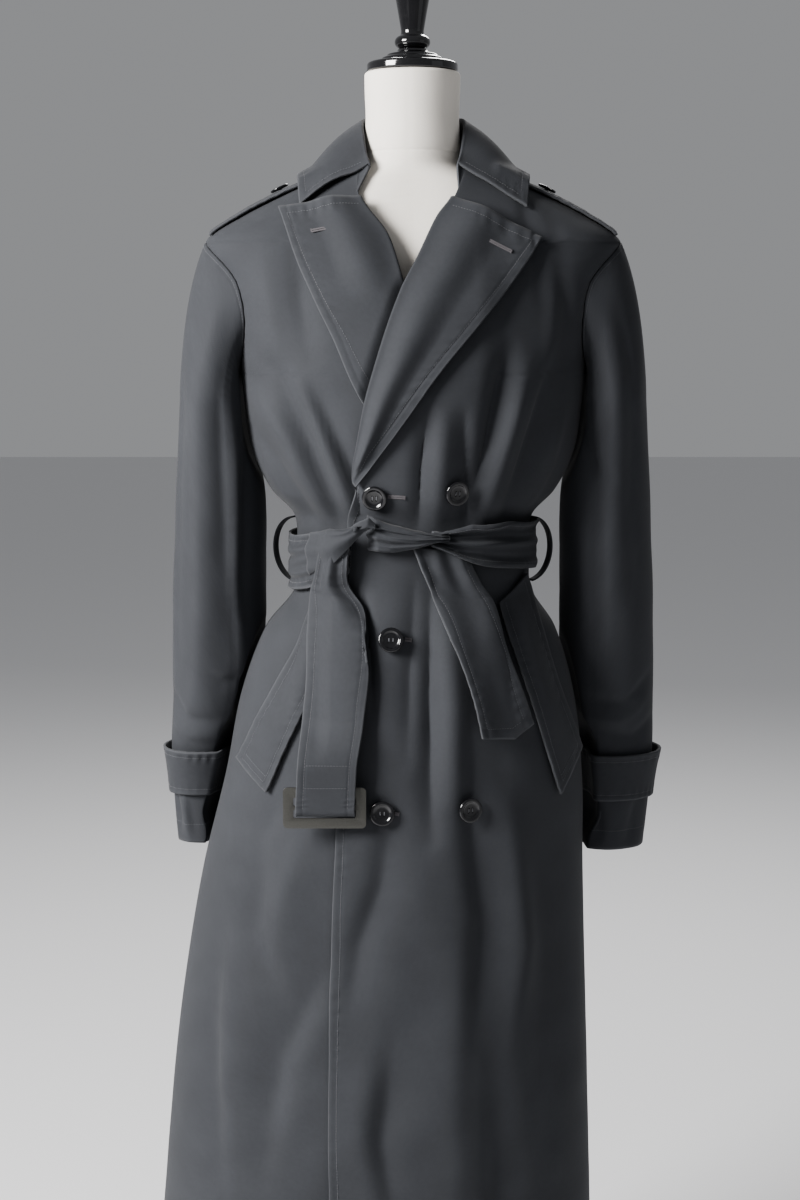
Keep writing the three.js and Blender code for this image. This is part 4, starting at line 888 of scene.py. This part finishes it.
# ---------------------------------------------------------------- sleeves
# Set-in sleeves in two pieces, top and under, seamed along the front and the back of the arm.
# They hang nearly straight, with long soft folds and short slanting ones above the cuffs.
# height, inner and outer side, middle and half depth
SLEEVE = [
    (1.240, 0.176, 0.260, 0.004, 0.066), (1.127, 0.166, 0.267, 0.014, 0.066),
    (1.014, 0.167, 0.273, 0.024, 0.062), (0.900, 0.166, 0.276, 0.034, 0.058),
    (0.839, 0.172, 0.277, 0.038, 0.056), (0.728, 0.176, 0.268, 0.040, 0.052),
]
SLEEVE_TOP, SLEEVE_HEM, CAP_SHARE, ROUND = 1.240, 0.728, 0.22, 0.058
# folds over the flat sleeve: across it (0 is its outer side, 0.091 its front), and height
SLEEVE_FOLDS = {
    LEFT: [
        (-0.0035, 0.012, (0.060, 1.360), (0.058, 1.200), (0.066, 1.020)),
        (0.0035, 0.013, (0.092, 1.330), (0.086, 1.150), (0.092, 0.960)),
        (-0.0050, 0.011, (0.132, 1.250), (0.112, 1.150), (0.106, 0.960)),
        (-0.0035, 0.008, (0.030, 0.930), (0.070, 0.900), (0.120, 0.905)),
        (0.0030, 0.008, (0.040, 0.902), (0.080, 0.878), (0.126, 0.884)),
        (-0.0035, 0.008, (0.020, 0.880), (0.062, 0.860), (0.110, 0.866)),
        (-0.0040, 0.010, (0.150, 1.230), (0.128, 1.180), (0.090, 1.150)),
        (-0.0040, 0.013, (-0.060, 1.330), (-0.066, 1.100), (-0.060, 0.900)),
        (-0.0035, 0.013, (-0.100, 1.250), (-0.092, 1.080), (-0.102, 0.880)),
        (-0.0030, 0.010, (0.050, 0.790), (0.060, 0.735)), (-0.0030, 0.009, (0.110, 0.790), (0.104, 0.735)),
    ],
    RIGHT: [
        (0.0040, 0.014, (0.070, 1.370), (0.066, 1.180), (0.072, 0.980), (0.064, 0.880)),
        (-0.0040, 0.012, (0.100, 1.300), (0.100, 1.120), (0.112, 0.960)),
        (-0.0045, 0.010, (0.150, 1.235), (0.132, 1.150), (0.124, 1.000)),
        (0.0030, 0.011, (0.120, 1.210), (0.116, 1.050), (0.126, 0.900)),
        (-0.0030, 0.012, (0.030, 1.330), (0.028, 1.100), (0.036, 0.900)),
        (-0.0040, 0.008, (0.020, 0.905), (0.058, 0.878), (0.104, 0.872)),
        (0.0030, 0.008, (0.030, 0.880), (0.070, 0.858), (0.120, 0.856)),
        (-0.0030, 0.008, (0.060, 0.945), (0.100, 0.922), (0.140, 0.926)),
        (-0.0040, 0.013, (-0.060, 1.320), (-0.064, 1.100), (-0.058, 0.900)),
        (-0.0035, 0.013, (-0.104, 1.240), (-0.096, 1.060), (-0.100, 0.880)),
        (-0.0045, 0.010, (0.044, 0.792), (0.050, 0.738)), (0.0040, 0.008, (0.066, 0.790), (0.072, 0.735)),
        (-0.0035, 0.009, (0.118, 0.790), (0.110, 0.735)),
    ],
}


def coat_side(y, z, side):
    """How far out the coat's own side reaches at a given depth."""
    depth = np.where(y < 0, read(GIRTH, 3, z), read(GIRTH, 4, z))
    share = 1 - np.minimum(1, np.abs(y) / depth) ** SQUARENESS
    return side * read(GIRTH, 1, z) + read(GIRTH, 2, z) * share ** (1 / SQUARENESS)


def sleeve_section(turn, z, side):
    """A straight section; turn is 0 on the outside and a quarter turn at the front."""
    inner, outer = read(SLEEVE, 1, z), read(SLEEVE, 2, z)
    back = 0.034 * (1 - ease(0.780, 1.000, z)) if side == RIGHT else 0
    y = read(SLEEVE, 3, z) + back - read(SLEEVE, 4, z) * np.sin(turn)
    out = 0.022 * (1 - ease(0.780, 0.960, z)) * np.sin(turn) if side == RIGHT else 0
    free = (inner + outer) / 2 + (outer - inner) / 2 * np.cos(turn) + out
    clear = 0.005 + 0.012 * ease(0.735, 0.770, z) * (1 - ease(0.850, 0.890, z))
    least = coat_side(y, z, side) + clear
    gap = free - least
    return np.stack([side * (least + 0.5 * (gap + np.sqrt(gap**2 + 0.003**2))), y, z], -1)


def sleeve_plain(turn, v, side):
    turn, v = pair(turn, v)
    z = mix(SLEEVE_TOP, SLEEVE_HEM, np.clip((v - CAP_SHARE) / (1 - CAP_SHARE), 0, 1))
    straight = sleeve_section(turn, z, side)
    t = np.clip(v / CAP_SHARE, 0, 1)[..., None]
    z = ARMHOLE_MIDDLE + ARMHOLE_HALF * np.cos(turn) * 0.9999
    angle = np.where(np.sin(turn) >= 0, side_angle(z, FRONT), side_angle(z, BACK))
    start = folded(side * angle, z)
    start[..., 0] += side * 0.0007
    end = sleeve_section(turn, 0 * turn + SLEEVE_TOP, side)
    reach = np.linalg.norm(end - start, axis=-1)
    out = mix(0.42, 0.80, np.sin(turn) ** 2)
    leave = np.stack([side * out, 0 * out, -np.sqrt(1 - out**2)], -1) * (0.7 * reach)[..., None]
    arrive = np.stack([0 * out, 0 * out, -0.9 * reach], -1)
    swell = (start * (2 * t**3 - 3 * t**2 + 1) + leave * (t**3 - 2 * t**2 + t)
             + end * (3 * t**2 - 2 * t**3) + arrive * (t**3 - t**2))
    return np.where((v < CAP_SHARE)[..., None], swell, straight)


def sleeve(side):
    def surface(u, v):
        turn, v = pair(mix(-math.pi, math.pi, u), v)
        z = mix(1.400, SLEEVE_HEM, v)
        step = 0.002
        above, below = np.clip(v - step, 0, 1), np.clip(v + step, 0, 1)
        out = side * outward(sleeve_plain(turn + step, v, side) - sleeve_plain(turn - step, v, side),
                             sleeve_plain(turn, below, side) - sleeve_plain(turn, above, side))
        flat = turn * ROUND
        shape = sleeve_plain(turn, v, side)
        height = np.where(v < CAP_SHARE, z, shape[..., 2])
        move = folds_at(SLEEVE_FOLDS[side], flat, height) * ease(0.02, 0.10, v)
        move += 0.0006 * np.sin(flat * 90 + 4 * np.sin(z * 9)) * np.sin(z * 31 + flat * 25)
        for seam in (1.95, -1.45):
            move += pucker((turn - seam) * ROUND, z, side, 0.0003)
        move += pucker(v * 0.70 - 0.006, flat, 0.4, 0.0005) + pucker((1 - v) * 0.66 - 0.022, flat, 1, 0.0004)
        return shape + out * move[..., None]
    return surface


sleeves = {LEFT: sleeve(LEFT), RIGHT: sleeve(RIGHT)}
sleeve_rows = np.concatenate([np.linspace(0, 0.06, 14)[:-1], np.linspace(0.06, 1, 190)])
for side, word in ((LEFT, "left"), (RIGHT, "right")):
    cloth(f"sleeve_{word}_cloth", [f"sleeve_{word}_top", f"sleeve_{word}_under"], sleeves[side],
          np.linspace(0, 1, 100, endpoint=False), sleeve_rows,
          closed=True, flip=side == RIGHT, rubbed=(1,))
    ring = np.linspace(0, 1, 400)
    stitch_row(sleeves[side], ring, 0.9665 + 0 * ring, flip=side == RIGHT)
    stitch_row(sleeves[side], ring[60:340], 0.0085 + 0 * ring[60:340], flip=side == RIGHT)
sew("sleeve_stitches")

# ---------------------------------------------------------------- cuff straps
# A double band round each sleeve, sewn close to both edges, that stands off the sleeve at its top.
def cuff_strap(side):
    gap = 0.0016 if side == LEFT else 0.0020

    def surface(u, v):
        turn, v = pair(u * 2 * math.pi, v)
        z = mix(0.839, 0.786, v)
        step = 0.002
        out = side * outward(sleeve_section(turn + step, z, side) - sleeve_section(turn - step, z, side),
                             sleeve_section(turn, z - step, side) - sleeve_section(turn, z + step, side))
        flare = 0.0045 * (1 - v) ** 2 * (0.75 + 0.25 * np.cos(turn)) + 0.0008 * np.sin(3 * turn + side)
        lift = 0.003 + gap + flare
        flat = turn * ROUND
        lift = lift + pucker(v * 0.053 - 0.007, flat, side, 0.0007)
        lift = lift + pucker((1 - v) * 0.053 - 0.007, flat, 2 + side, 0.0006)
        return sleeve_section(turn, z, side) + out * lift[..., None]
    return surface


for side, word in ((LEFT, "left"), (RIGHT, "right")):
    band = cuff_strap(side)
    cloth(f"cuff_strap_{word}_cloth", [f"cuff_strap_{word}"], band, np.linspace(0, 1, 160, endpoint=False),
          np.linspace(0, 1, 24), thickness=0.0028,
          closed=True, flip=side == RIGHT)
    ring = np.linspace(0, 1, 400)
    for share in (0.132, 0.868):
        stitch_row(band, ring, share + 0 * ring, flip=side == RIGHT)
sew("cuff_stitches")

# ---------------------------------------------------------------- shoulder straps
# Stitched straps sewn in at the armholes, pointed towards the collar and buttoned there.
def on_shoulder(x, y, lift):
    """A point over the shoulder, moved out by a lift."""
    x, y = pair(x, y)
    z = shoulder_height(x, y, UNDERARM + 0.04)
    depth = np.where(y < 0, read(GIRTH, 3, z), read(GIRTH, 4, z))
    return skin(np.arctan2(x / read(GIRTH, 2, z), -y / depth), z, lift)


def shoulder_strap(side):
    def surface(u, v):
        u, v = pair(u, v)
        x = mix(0.095 + 0.012 * np.abs(2 * u - 1), 0.221, v)
        half = mix(0.026, 0.021, v)
        lift = 0.0042 + 0.0016 * np.sin(math.pi * v) + pucker(
            (0.5 - np.abs(u - 0.5)) * 2 * half - 0.006, x, side, 0.0005)
        return on_shoulder(side * x, (2 * u - 1) * half, lift)
    return surface


for side, word in ((LEFT, "left"), (RIGHT, "right")):
    strap = shoulder_strap(side)
    cloth(f"epaulette_{word}_cloth", [f"epaulette_{word}"], strap, np.linspace(0, 1, 34),
          np.linspace(0, 1, 76),
          thickness=0.003, flip=side == LEFT)
    along = np.linspace(0.06, 0.97, 150)
    for share in (0.12, 0.88):
        stitch_row(strap, share + 0 * along, along, flip=side == LEFT)
    stitch_row(strap, np.linspace(0.12, 0.88, 60), 0.055 + 0 * np.linspace(0, 1, 60), flip=side == LEFT)
sew("epaulette_stitches")

# ---------------------------------------------------------------- pocket welts
# A wide slanting welt on each hip, two layers sewn down round its edge, twice at the lower end.
WELTS = {
    LEFT: ((0.090, 1.022), (0.121, 1.050), (0.158, 0.812), (0.183, 0.855)),
    RIGHT: ((-0.072, 1.002), (-0.104, 1.024), (-0.158, 0.818), (-0.191, 0.847)),
}


def pocket_welt(side):
    top_in, top_out, end_in, end_out = WELTS[side]

    def surface(u, v):
        u, v = pair(u, v)
        x, z = (mix(mix(top_in[i], top_out[i], u), mix(end_in[i], end_out[i], u), v) for i in (0, 1))
        width = mix(0.040, 0.046, v)
        edge = np.minimum(u, 1 - u) * width
        lift = 0.0062 + 0.0020 * np.sin(math.pi * u) * np.sin(math.pi * v)
        lift = lift + pucker(edge - 0.006, z, side, 0.0005) + pucker((1 - v) * 0.205 - 0.007, x, 1, 0.0005)
        return on_front(x, z, lift, True, 0.6)
    return surface


for side, word in ((LEFT, "left"), (RIGHT, "right")):
    welt = pocket_welt(side)
    cloth(f"pocket_welt_{word}_cloth", [f"pocket_welt_{word}"], welt, np.linspace(0, 1, 32),
          np.linspace(0, 1, 84),
          thickness=0.003, flip=side == LEFT)
    along = np.linspace(0.02, 0.965, 200)
    for share in (0.15, 0.85):
        stitch_row(welt, share + 0 * along, along, flip=side == LEFT)
    for share in (0.965, 0.93):
        stitch_row(welt, np.linspace(0.15, 0.85, 60), share + 0 * np.linspace(0, 1, 60), flip=side == LEFT)
sew("welt_stitches")

# ---------------------------------------------------------------- belt loops
# A narrow loop at each side seam, sewn down above and below the belt, bowed out by it.
def belt_loop(side):
    ends = [float(coat_side(np.array(0.014), np.array(z), side)) + 0.0028 for z in (1.108, 1.034)]
    bow = float(coat_side(np.array(0.014), np.array(1.070), side)) + 0.033
    path = [(ends[0], 1.108), (bow, 1.106), (bow, 1.044), (ends[1], 1.034)]

    def surface(u, v):
        u, v = pair(u, v)
        weights = ((1 - v) ** 3, 3 * v * (1 - v) ** 2, 3 * v**2 * (1 - v), v**3)
        x, z = (sum(w * p[i] for w, p in zip(weights, path)) for i in (0, 1))
        return np.stack([side * (x - (u - 0.5) * 0.004), 0.014 + (u - 0.5) * 0.010, z], -1)
    return surface


for side, word in ((LEFT, "left"), (RIGHT, "right")):
    cloth(f"belt_loop_{word}_cloth", [f"belt_loop_{word}"], belt_loop(side), np.linspace(0, 1, 8),
          np.linspace(0, 1, 60),
          thickness=0.0018,
          flip=side == LEFT)

# ---------------------------------------------------------------- belt
# One long double strip of the same cloth, crushed into pleats where it is drawn tight. It is tied
# in a half knot: one end comes up behind, falls over the front and carries the buckle.
# share of the way round: middle height and width
BELT = [(0, 1.096, 0.016), (0.05, 1.090, 0.040), (0.09, 1.089, 0.052), (0.2, 1.083, 0.056),
        (0.5, 1.069, 0.062), (0.85, 1.060, 0.062), (0.95, 1.071, 0.056), (1, 1.083, 0.046)]


def belt_waist(u, v):
    u, v = pair(u, v)
    z = read(BELT, 1, u) + (v - 0.5) * read(BELT, 2, u)
    start, stop = front_angle(0.018 + 0 * z, z), front_angle(-0.064 + 0 * z, z) + 2 * math.pi
    angle = mix(start, stop, u)
    lift = np.where(np.cos(angle) > 0, lapover(girth(angle, z)[..., 0], z), 0)
    tight = 1 - ease(0.02, 0.34, u) * (1 - ease(0.72, 0.97, u))
    pleat = tight * (0.0030 * np.sin(v * 15 + 3.2 * u + 0.8 * np.sin(22 * u))
                     + 0.0016 * np.sin(v * 31 - 9 * u))
    crease = 0.0012 * np.sin(v * 8 + 14 * u) * np.sin(31 * u + 2)
    rim = 0.0018 * np.exp(-((1 - v) / 0.07) ** 2)
    sewn = pucker(np.minimum(v, 1 - v) * 0.06 - 0.0070, u * 0.85, 0.8, 0.0005)
    return skin(angle, z, 0.0074 + lift + 0.0034 * tight + pleat + crease + rim + sewn, 0.5)


cloth("belt_waist_cloth", ["belt_waist"], belt_waist, np.linspace(0, 1, 300), np.linspace(0, 1, 36),
      thickness=0.003)
round_it = np.linspace(0.02, 0.98, 900)
for share in (0.12, 0.88):
    stitch_row(belt_waist, round_it, share + 0 * round_it)


def belt_twist(u, v):
    """The pleated turn of the belt from the knot to where it is drawn together."""
    u, v = pair(u, v)
    x = mix(-0.046, 0.034, u)
    top = np.interp(u, [0, 0.08, 0.3, 0.6, 0.85, 1], [1.127, 1.125, 1.116, 1.106, 1.102, 1.100])
    foot = np.interp(u, [0, 0.3, 0.6, 0.85, 1], [1.082, 1.081, 1.085, 1.091, 1.092])
    pleat = (0.0022 * np.sin(v * 17 - 2.6 * u + 0.5) + 0.0011 * np.sin(v * 33 + 4 * u)) * (1 - 0.5 * u)
    dome = 0.0090 * np.sin(math.pi * np.clip(v, 0, 1)) ** 0.7
    tucked = -0.0110 * (1 - ease(0, 0.16, u)) * (1 - 0.8 * ease(0.7, 1.0, v)) - 0.004 * ease(0.9, 1, u)
    return on_front(x, mix(foot, top, v), 0.0130 + dome + pleat + tucked, True, 0.3)


cloth("belt_twist_cloth", ["belt_twist"], belt_twist, np.linspace(0, 1, 90), np.linspace(0, 1, 36),
      thickness=0.003)


def belt_knot(u, v):
    """The tent over the knot, from the left band up to its peak, open to the right underneath."""
    u, v = pair(u, v)
    x = mix(-0.104, -0.035, u)
    top = np.interp(u, [0, 0.35, 0.62, 0.80, 0.90, 1], [1.098, 1.107, 1.119, 1.127, 1.130, 1.121])
    foot = np.interp(u, [0, 0.3, 0.5, 0.68, 0.85, 1], [1.052, 1.062, 1.072, 1.087, 1.104, 1.113])
    crease = 0.0013 * np.sin(v * 13 + 7 * u) * (1 - 0.6 * u)
    swell = 0.0150 * ease(0, 0.55, u) * (1 - 0.35 * ease(0.75, 1, u)) + 0.0060 * np.sin(math.pi * v) ** 0.8
    z = mix(foot, top, v) + 0.002 * np.sin(u * 9) * (1 - v)
    return on_front(x, z, 0.0112 + swell + crease, True, 0.3)


cloth("belt_knot_cloth", ["belt_knot"], belt_knot, np.linspace(0, 1, 70), np.linspace(0, 1, 34),
      thickness=0.003)

BUCKLE = (-0.088, 0.812)     # the middle of the buckle
buckle_middle = Vector([sum(c) / 2 for c in zip(*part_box("buckle"))])
# height: left and right edge of the long end, and its lift
LONG_END = [(1.104, -0.080, -0.059, 0.0190), (1.090, -0.084, -0.060, 0.0200), (1.070, -0.088, -0.061, 0.0215),
            (1.043, -0.095, -0.062, 0.0200), (1.012, -0.103, -0.049, 0.0170), (0.994, -0.105, -0.045, 0.0160),
            (0.930, -0.111, -0.048, 0.0145), (0.870, -0.116, -0.053, 0.0150), (0.812, -0.119, -0.056, 0.0200)]
LONG_TOP = 1.104
LOOP = 0.0058                # radius of the turn round the buckle's middle bar
LONG_LENGTH = LONG_TOP - BUCKLE[1] + math.pi * LOOP + 0.0157


def belt_long_end(u, v):
    """From under the knot down to the buckle, round its middle bar and a little way up behind it."""
    u, v = pair(u, v)
    hang = LONG_TOP - BUCKLE[1]
    distance = v * LONG_LENGTH
    z = LONG_TOP - np.minimum(distance, hang)
    left, right = read(LONG_END, 1, z), read(LONG_END, 2, z)
    x = mix(left, right, u)
    fan = ease(1.000, 1.075, z)
    pleat = fan * (0.0018 * np.sin(u * 12 + 1.2) + 0.0008 * np.sin(u * 23 + 30 * z))
    turned_back = -0.010 * ease(0.55, 1.0, u) * ease(0.985, 1.020, z) * (1 - ease(1.03, 1.075, z))
    soft = 0.0015 * np.sin(u * 5 + z * 18) * (1 - fan) * ease(0.84, 0.90, z)
    edge = np.minimum(u, 1 - u) * (right - left)
    sewn = pucker(edge - 0.0078, z, 0.3, 0.0006) + pucker(z - 0.858, x, 0.2, 0.0005)
    crown = 0.0040 * fan * np.sin(math.pi * u)
    lift = read(LONG_END, 3, z) + pleat + soft + sewn + crown + turned_back
    hanging = on_front(x, z, lift, True, 0.3)
    past = distance - hang
    bend = np.clip((past - 0.0036) / (math.pi * LOOP), 0, 1) * math.pi
    behind = np.maximum(0, past - 0.0036 - math.pi * LOOP)
    down = np.minimum(past, 0.0036) + LOOP * np.sin(bend) - behind
    flat = np.stack([x - BUCKLE[0] + buckle_middle.x, buckle_middle.y - LOOP * np.cos(bend) + 0 * x,
                     buckle_middle.z - down], -1)
    flat[..., 1] -= pucker(edge - 0.0078, z - past, 0.3, 0.0004)
    return mix(hanging, flat, (1 - ease(0.850, 0.905, z))[..., None])


long_rows = np.concatenate([np.linspace(0, 0.86, 115)[:-1], np.linspace(0.86, 1, 52)])
cloth("belt_long_end_cloth", ["belt_long_end"], belt_long_end, np.linspace(0, 1, 46), long_rows,
      thickness=0.003, flip=True)
down = np.linspace(0.06, 0.90, 300)
for share in (0.125, 0.875):
    stitch_row(belt_long_end, share + 0 * down, down, flip=True)
cross = np.linspace(0.14, 0.86, 60)
stitch_row(belt_long_end, cross, (LONG_TOP - 0.858) / LONG_LENGTH + 0 * cross, flip=True)
stitch_row(belt_long_end, cross, (LONG_TOP - 0.834) / LONG_LENGTH + 0 * cross, flip=True)

TOP_LEFT, TOP_RIGHT, TIP_LEFT, TIP_RIGHT = (0.000, 1.086), (0.052, 1.082), (0.070, 0.884), (0.124, 0.902)


def belt_short_end(u, v):
    """The end that comes out under the belt and hangs to a slanting point."""
    u, v = pair(u, v)
    x, z = (mix(mix(TOP_LEFT[i], TOP_RIGHT[i], u), mix(TIP_LEFT[i], TIP_RIGHT[i], u), v) for i in (0, 1))
    z = z - 0.016 * v**6 * (1 - np.abs(2 * u - 1.3) / 1.3) - 0.010 * np.sin(math.pi * v) * (u - 0.5)
    edge = np.minimum(u, 1 - u) * 0.055
    hollow = 0.0028 * np.cos(2 * math.pi * u) * ease(0, 0.2, v) * (1 - 0.4 * v)
    pleat = 0.0018 * np.sin(u * 15 + 2) * (1 - ease(0.05, 0.35, v))
    billow = 0.0085 * np.sin(math.pi * np.clip(v * 0.94, 0, 1))
    sewn = pucker(edge - 0.0075, v * 0.18, 1.1, 0.0006)
    sewn += pucker((1 - v) * 0.18 - 0.008, u * 0.05, 0.4, 0.0004)
    return on_front(x, z, 0.0078 + hollow + pleat + billow + sewn, True, 0.3)


cloth("belt_short_end_cloth", ["belt_short_end"], belt_short_end, np.linspace(0, 1, 38),
      np.linspace(0, 1, 96), thickness=0.003, flip=True)
down = np.linspace(0.10, 0.955, 220)
for share in (0.14, 0.86):
    stitch_row(belt_short_end, share + 0 * down, down, flip=True)
stitch_row(belt_short_end, cross, 0.955 + 0 * cross, flip=True)
sew("belt_stitches")

# ---------------------------------------------------------------- buckle
# A flat stamped frame in satin gunmetal with a middle bar, its edges and corners slightly rounded.
GUNMETAL = hard_material("satin gunmetal", (0.085, 0.084, 0.078), (0.115, 0.113, 0.105), (0.34, 0.44), 3000.0,
                         0.00003, metal=0.7)
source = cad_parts["buckle"]
buckle = bpy.data.objects.new("buckle_frame", source.data.copy())
scene.collection.objects.link(buckle)
bpy.ops.object.select_all(action="DESELECT")
bpy.context.view_layer.objects.active = buckle
buckle.select_set(True)
bpy.ops.object.mode_set(mode="EDIT")
bpy.ops.mesh.select_all(action="SELECT")
bpy.ops.mesh.remove_doubles(threshold=0.00001)
bpy.ops.mesh.normals_make_consistent(inside=False)
bpy.ops.object.mode_set(mode="OBJECT")
soft_edge = buckle.modifiers.new("rounded edges", "BEVEL")
soft_edge.width, soft_edge.segments, soft_edge.limit_method = 0.0006, 3, "ANGLE"
soft_edge.angle_limit = math.radians(50)
bpy.ops.object.modifier_apply(modifier=soft_edge.name)
bpy.ops.object.shade_smooth_by_angle(angle=math.radians(30))
buckle.data.materials.clear()
buckle.data.materials.append(GUNMETAL)
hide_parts("buckle")
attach(buckle, "buckle")

# ---------------------------------------------------------------- buttons
# Moulded black buttons with a broad rim, a dished middle and four holes, sewn on with a shank of
# thread; a worked buttonhole shows beside those of the left front.
PLASTIC = hard_material("black button plastic", (0.004, 0.004, 0.005), (0.010, 0.010, 0.012), (0.10, 0.22),
                        500.0, 0.00003, coat=0.6)
bpy.ops.object.select_all(action="DESELECT")
bpy.ops.mesh.primitive_circle_add(vertices=56, radius=0.0030, fill_type="NGON", location=(0, 0, 0))
button = bpy.context.object
bpy.ops.object.mode_set(mode="EDIT")
bpy.ops.mesh.select_all(action="SELECT")
section = [(0.0030, 0)] + rounded_profile([
    (0.0030, 0.0020, 0), (0.0118, 0.0021, 0.001), (0.0132, 0.0032, 0.001), (0.0135, 0.0046, 0.0008),
    (0.0125, 0.0056, 0.0008), (0.0098, 0.0055, 0.0006), (0.0086, 0.0044, 0.0008), (0.0070, 0.0038, 0.001),
    (0.0004, 0.0037, 0)], 4)
for (r0, h0), (r1, h1) in zip(section, section[1:]):
    bpy.ops.mesh.extrude_region_move(TRANSFORM_OT_translate={"value": (0, 0, h1 - h0)})
    bpy.ops.transform.resize(value=(r1 / r0, r1 / r0, 1), center_override=(0, 0, 0))
bpy.ops.mesh.select_all(action="SELECT")
bpy.ops.mesh.normals_make_consistent(inside=False)
bpy.ops.object.mode_set(mode="OBJECT")
drills = []
for k in range(4):
    angle = math.pi / 4 + k * math.pi / 2
    bpy.ops.mesh.primitive_cylinder_add(vertices=20, radius=0.0012, depth=0.006, location=(
        0.0031 * math.cos(angle), 0.0031 * math.sin(angle), 0.0058))
    drills.append(bpy.context.object)
bpy.ops.object.select_all(action="DESELECT")
for drill in drills:
    drill.select_set(True)
bpy.context.view_layer.objects.active = drills[0]
bpy.ops.object.join()
holes = bpy.context.object
bpy.ops.object.select_all(action="DESELECT")
bpy.context.view_layer.objects.active = button
button.select_set(True)
cut = button.modifiers.new("holes", "BOOLEAN")
cut.operation, cut.object, cut.solver = "DIFFERENCE", holes, "EXACT"
bpy.ops.object.modifier_apply(modifier=cut.name)
bpy.data.objects.remove(holes)
bpy.ops.object.shade_smooth_by_angle(angle=math.radians(40))


def place_button(name, seat, out, size=1.0):
    """A copy of the button on a seat point, facing out, with the thread through its holes."""
    mesh = button.data.copy()
    turn = Vector(out).to_track_quat("Z", "Y").to_matrix().to_4x4()
    mesh.transform(Matrix.Translation(Vector(seat)) @ turn @ Matrix.Scale(size, 4))
    mesh.materials.append(PLASTIC)
    piece = bpy.data.objects.new(name + "_moulded", mesh)
    scene.collection.objects.link(piece)
    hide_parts(name)
    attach(piece, "coat_and_form")
    for row in (-1, 1):
        place = [np.array(Vector(seat) + turn @ Vector((row * 0.0022 * size, y, 0.0040 * size)))
                 for y in (-0.0022 * size, 0.0022 * size)]
        forward = place[1] - place[0]
        normal = np.array(turn @ Vector((0, 0, 1)))
        side = np.cross(normal, forward / np.linalg.norm(forward))
        stitching.append(((place[0] + place[1]) / 2, forward / 2, side * 0.0005, normal * 0.0005))


BUTTONS = [("button_top_right", -0.040, 1.141, 0.0008), ("button_top_left", 0.043, 1.146, 0.0008),
           ("button_middle_right", -0.024, 0.987, 0.0008), ("button_middle_left", 0.049, 0.986, 0.0008),
           ("button_low_right", -0.034, 0.806, 0.0008), ("button_low_left", 0.058, 0.808, 0.0008)]
for name, x, z, seat in BUTTONS:
    here, above = (on_front(np.array(x), np.array(z), lift, True, 0.5) for lift in (seat, 0.01))
    place_button(name, here, above - here)
for side, word in ((LEFT, "left"), (RIGHT, "right")):
    here, above = (on_shoulder(np.array(side * 0.144), np.array(0.0), lift) for lift in (0.0048, 0.016))
    place_button(f"epaulette_button_{word}", here, above - here, 0.8)
bpy.data.objects.remove(button)
sew("button_thread")


for x, z, shown in ((-0.027, 1.142, 0.017), (-0.0115, 0.988, 0.007), (-0.0215, 0.806, 0.006)):
    buttonhole((x, z), (x + shown, z - 0.001), 0.0004)
sew("front_buttonholes", BUTTONHOLE_THREAD)
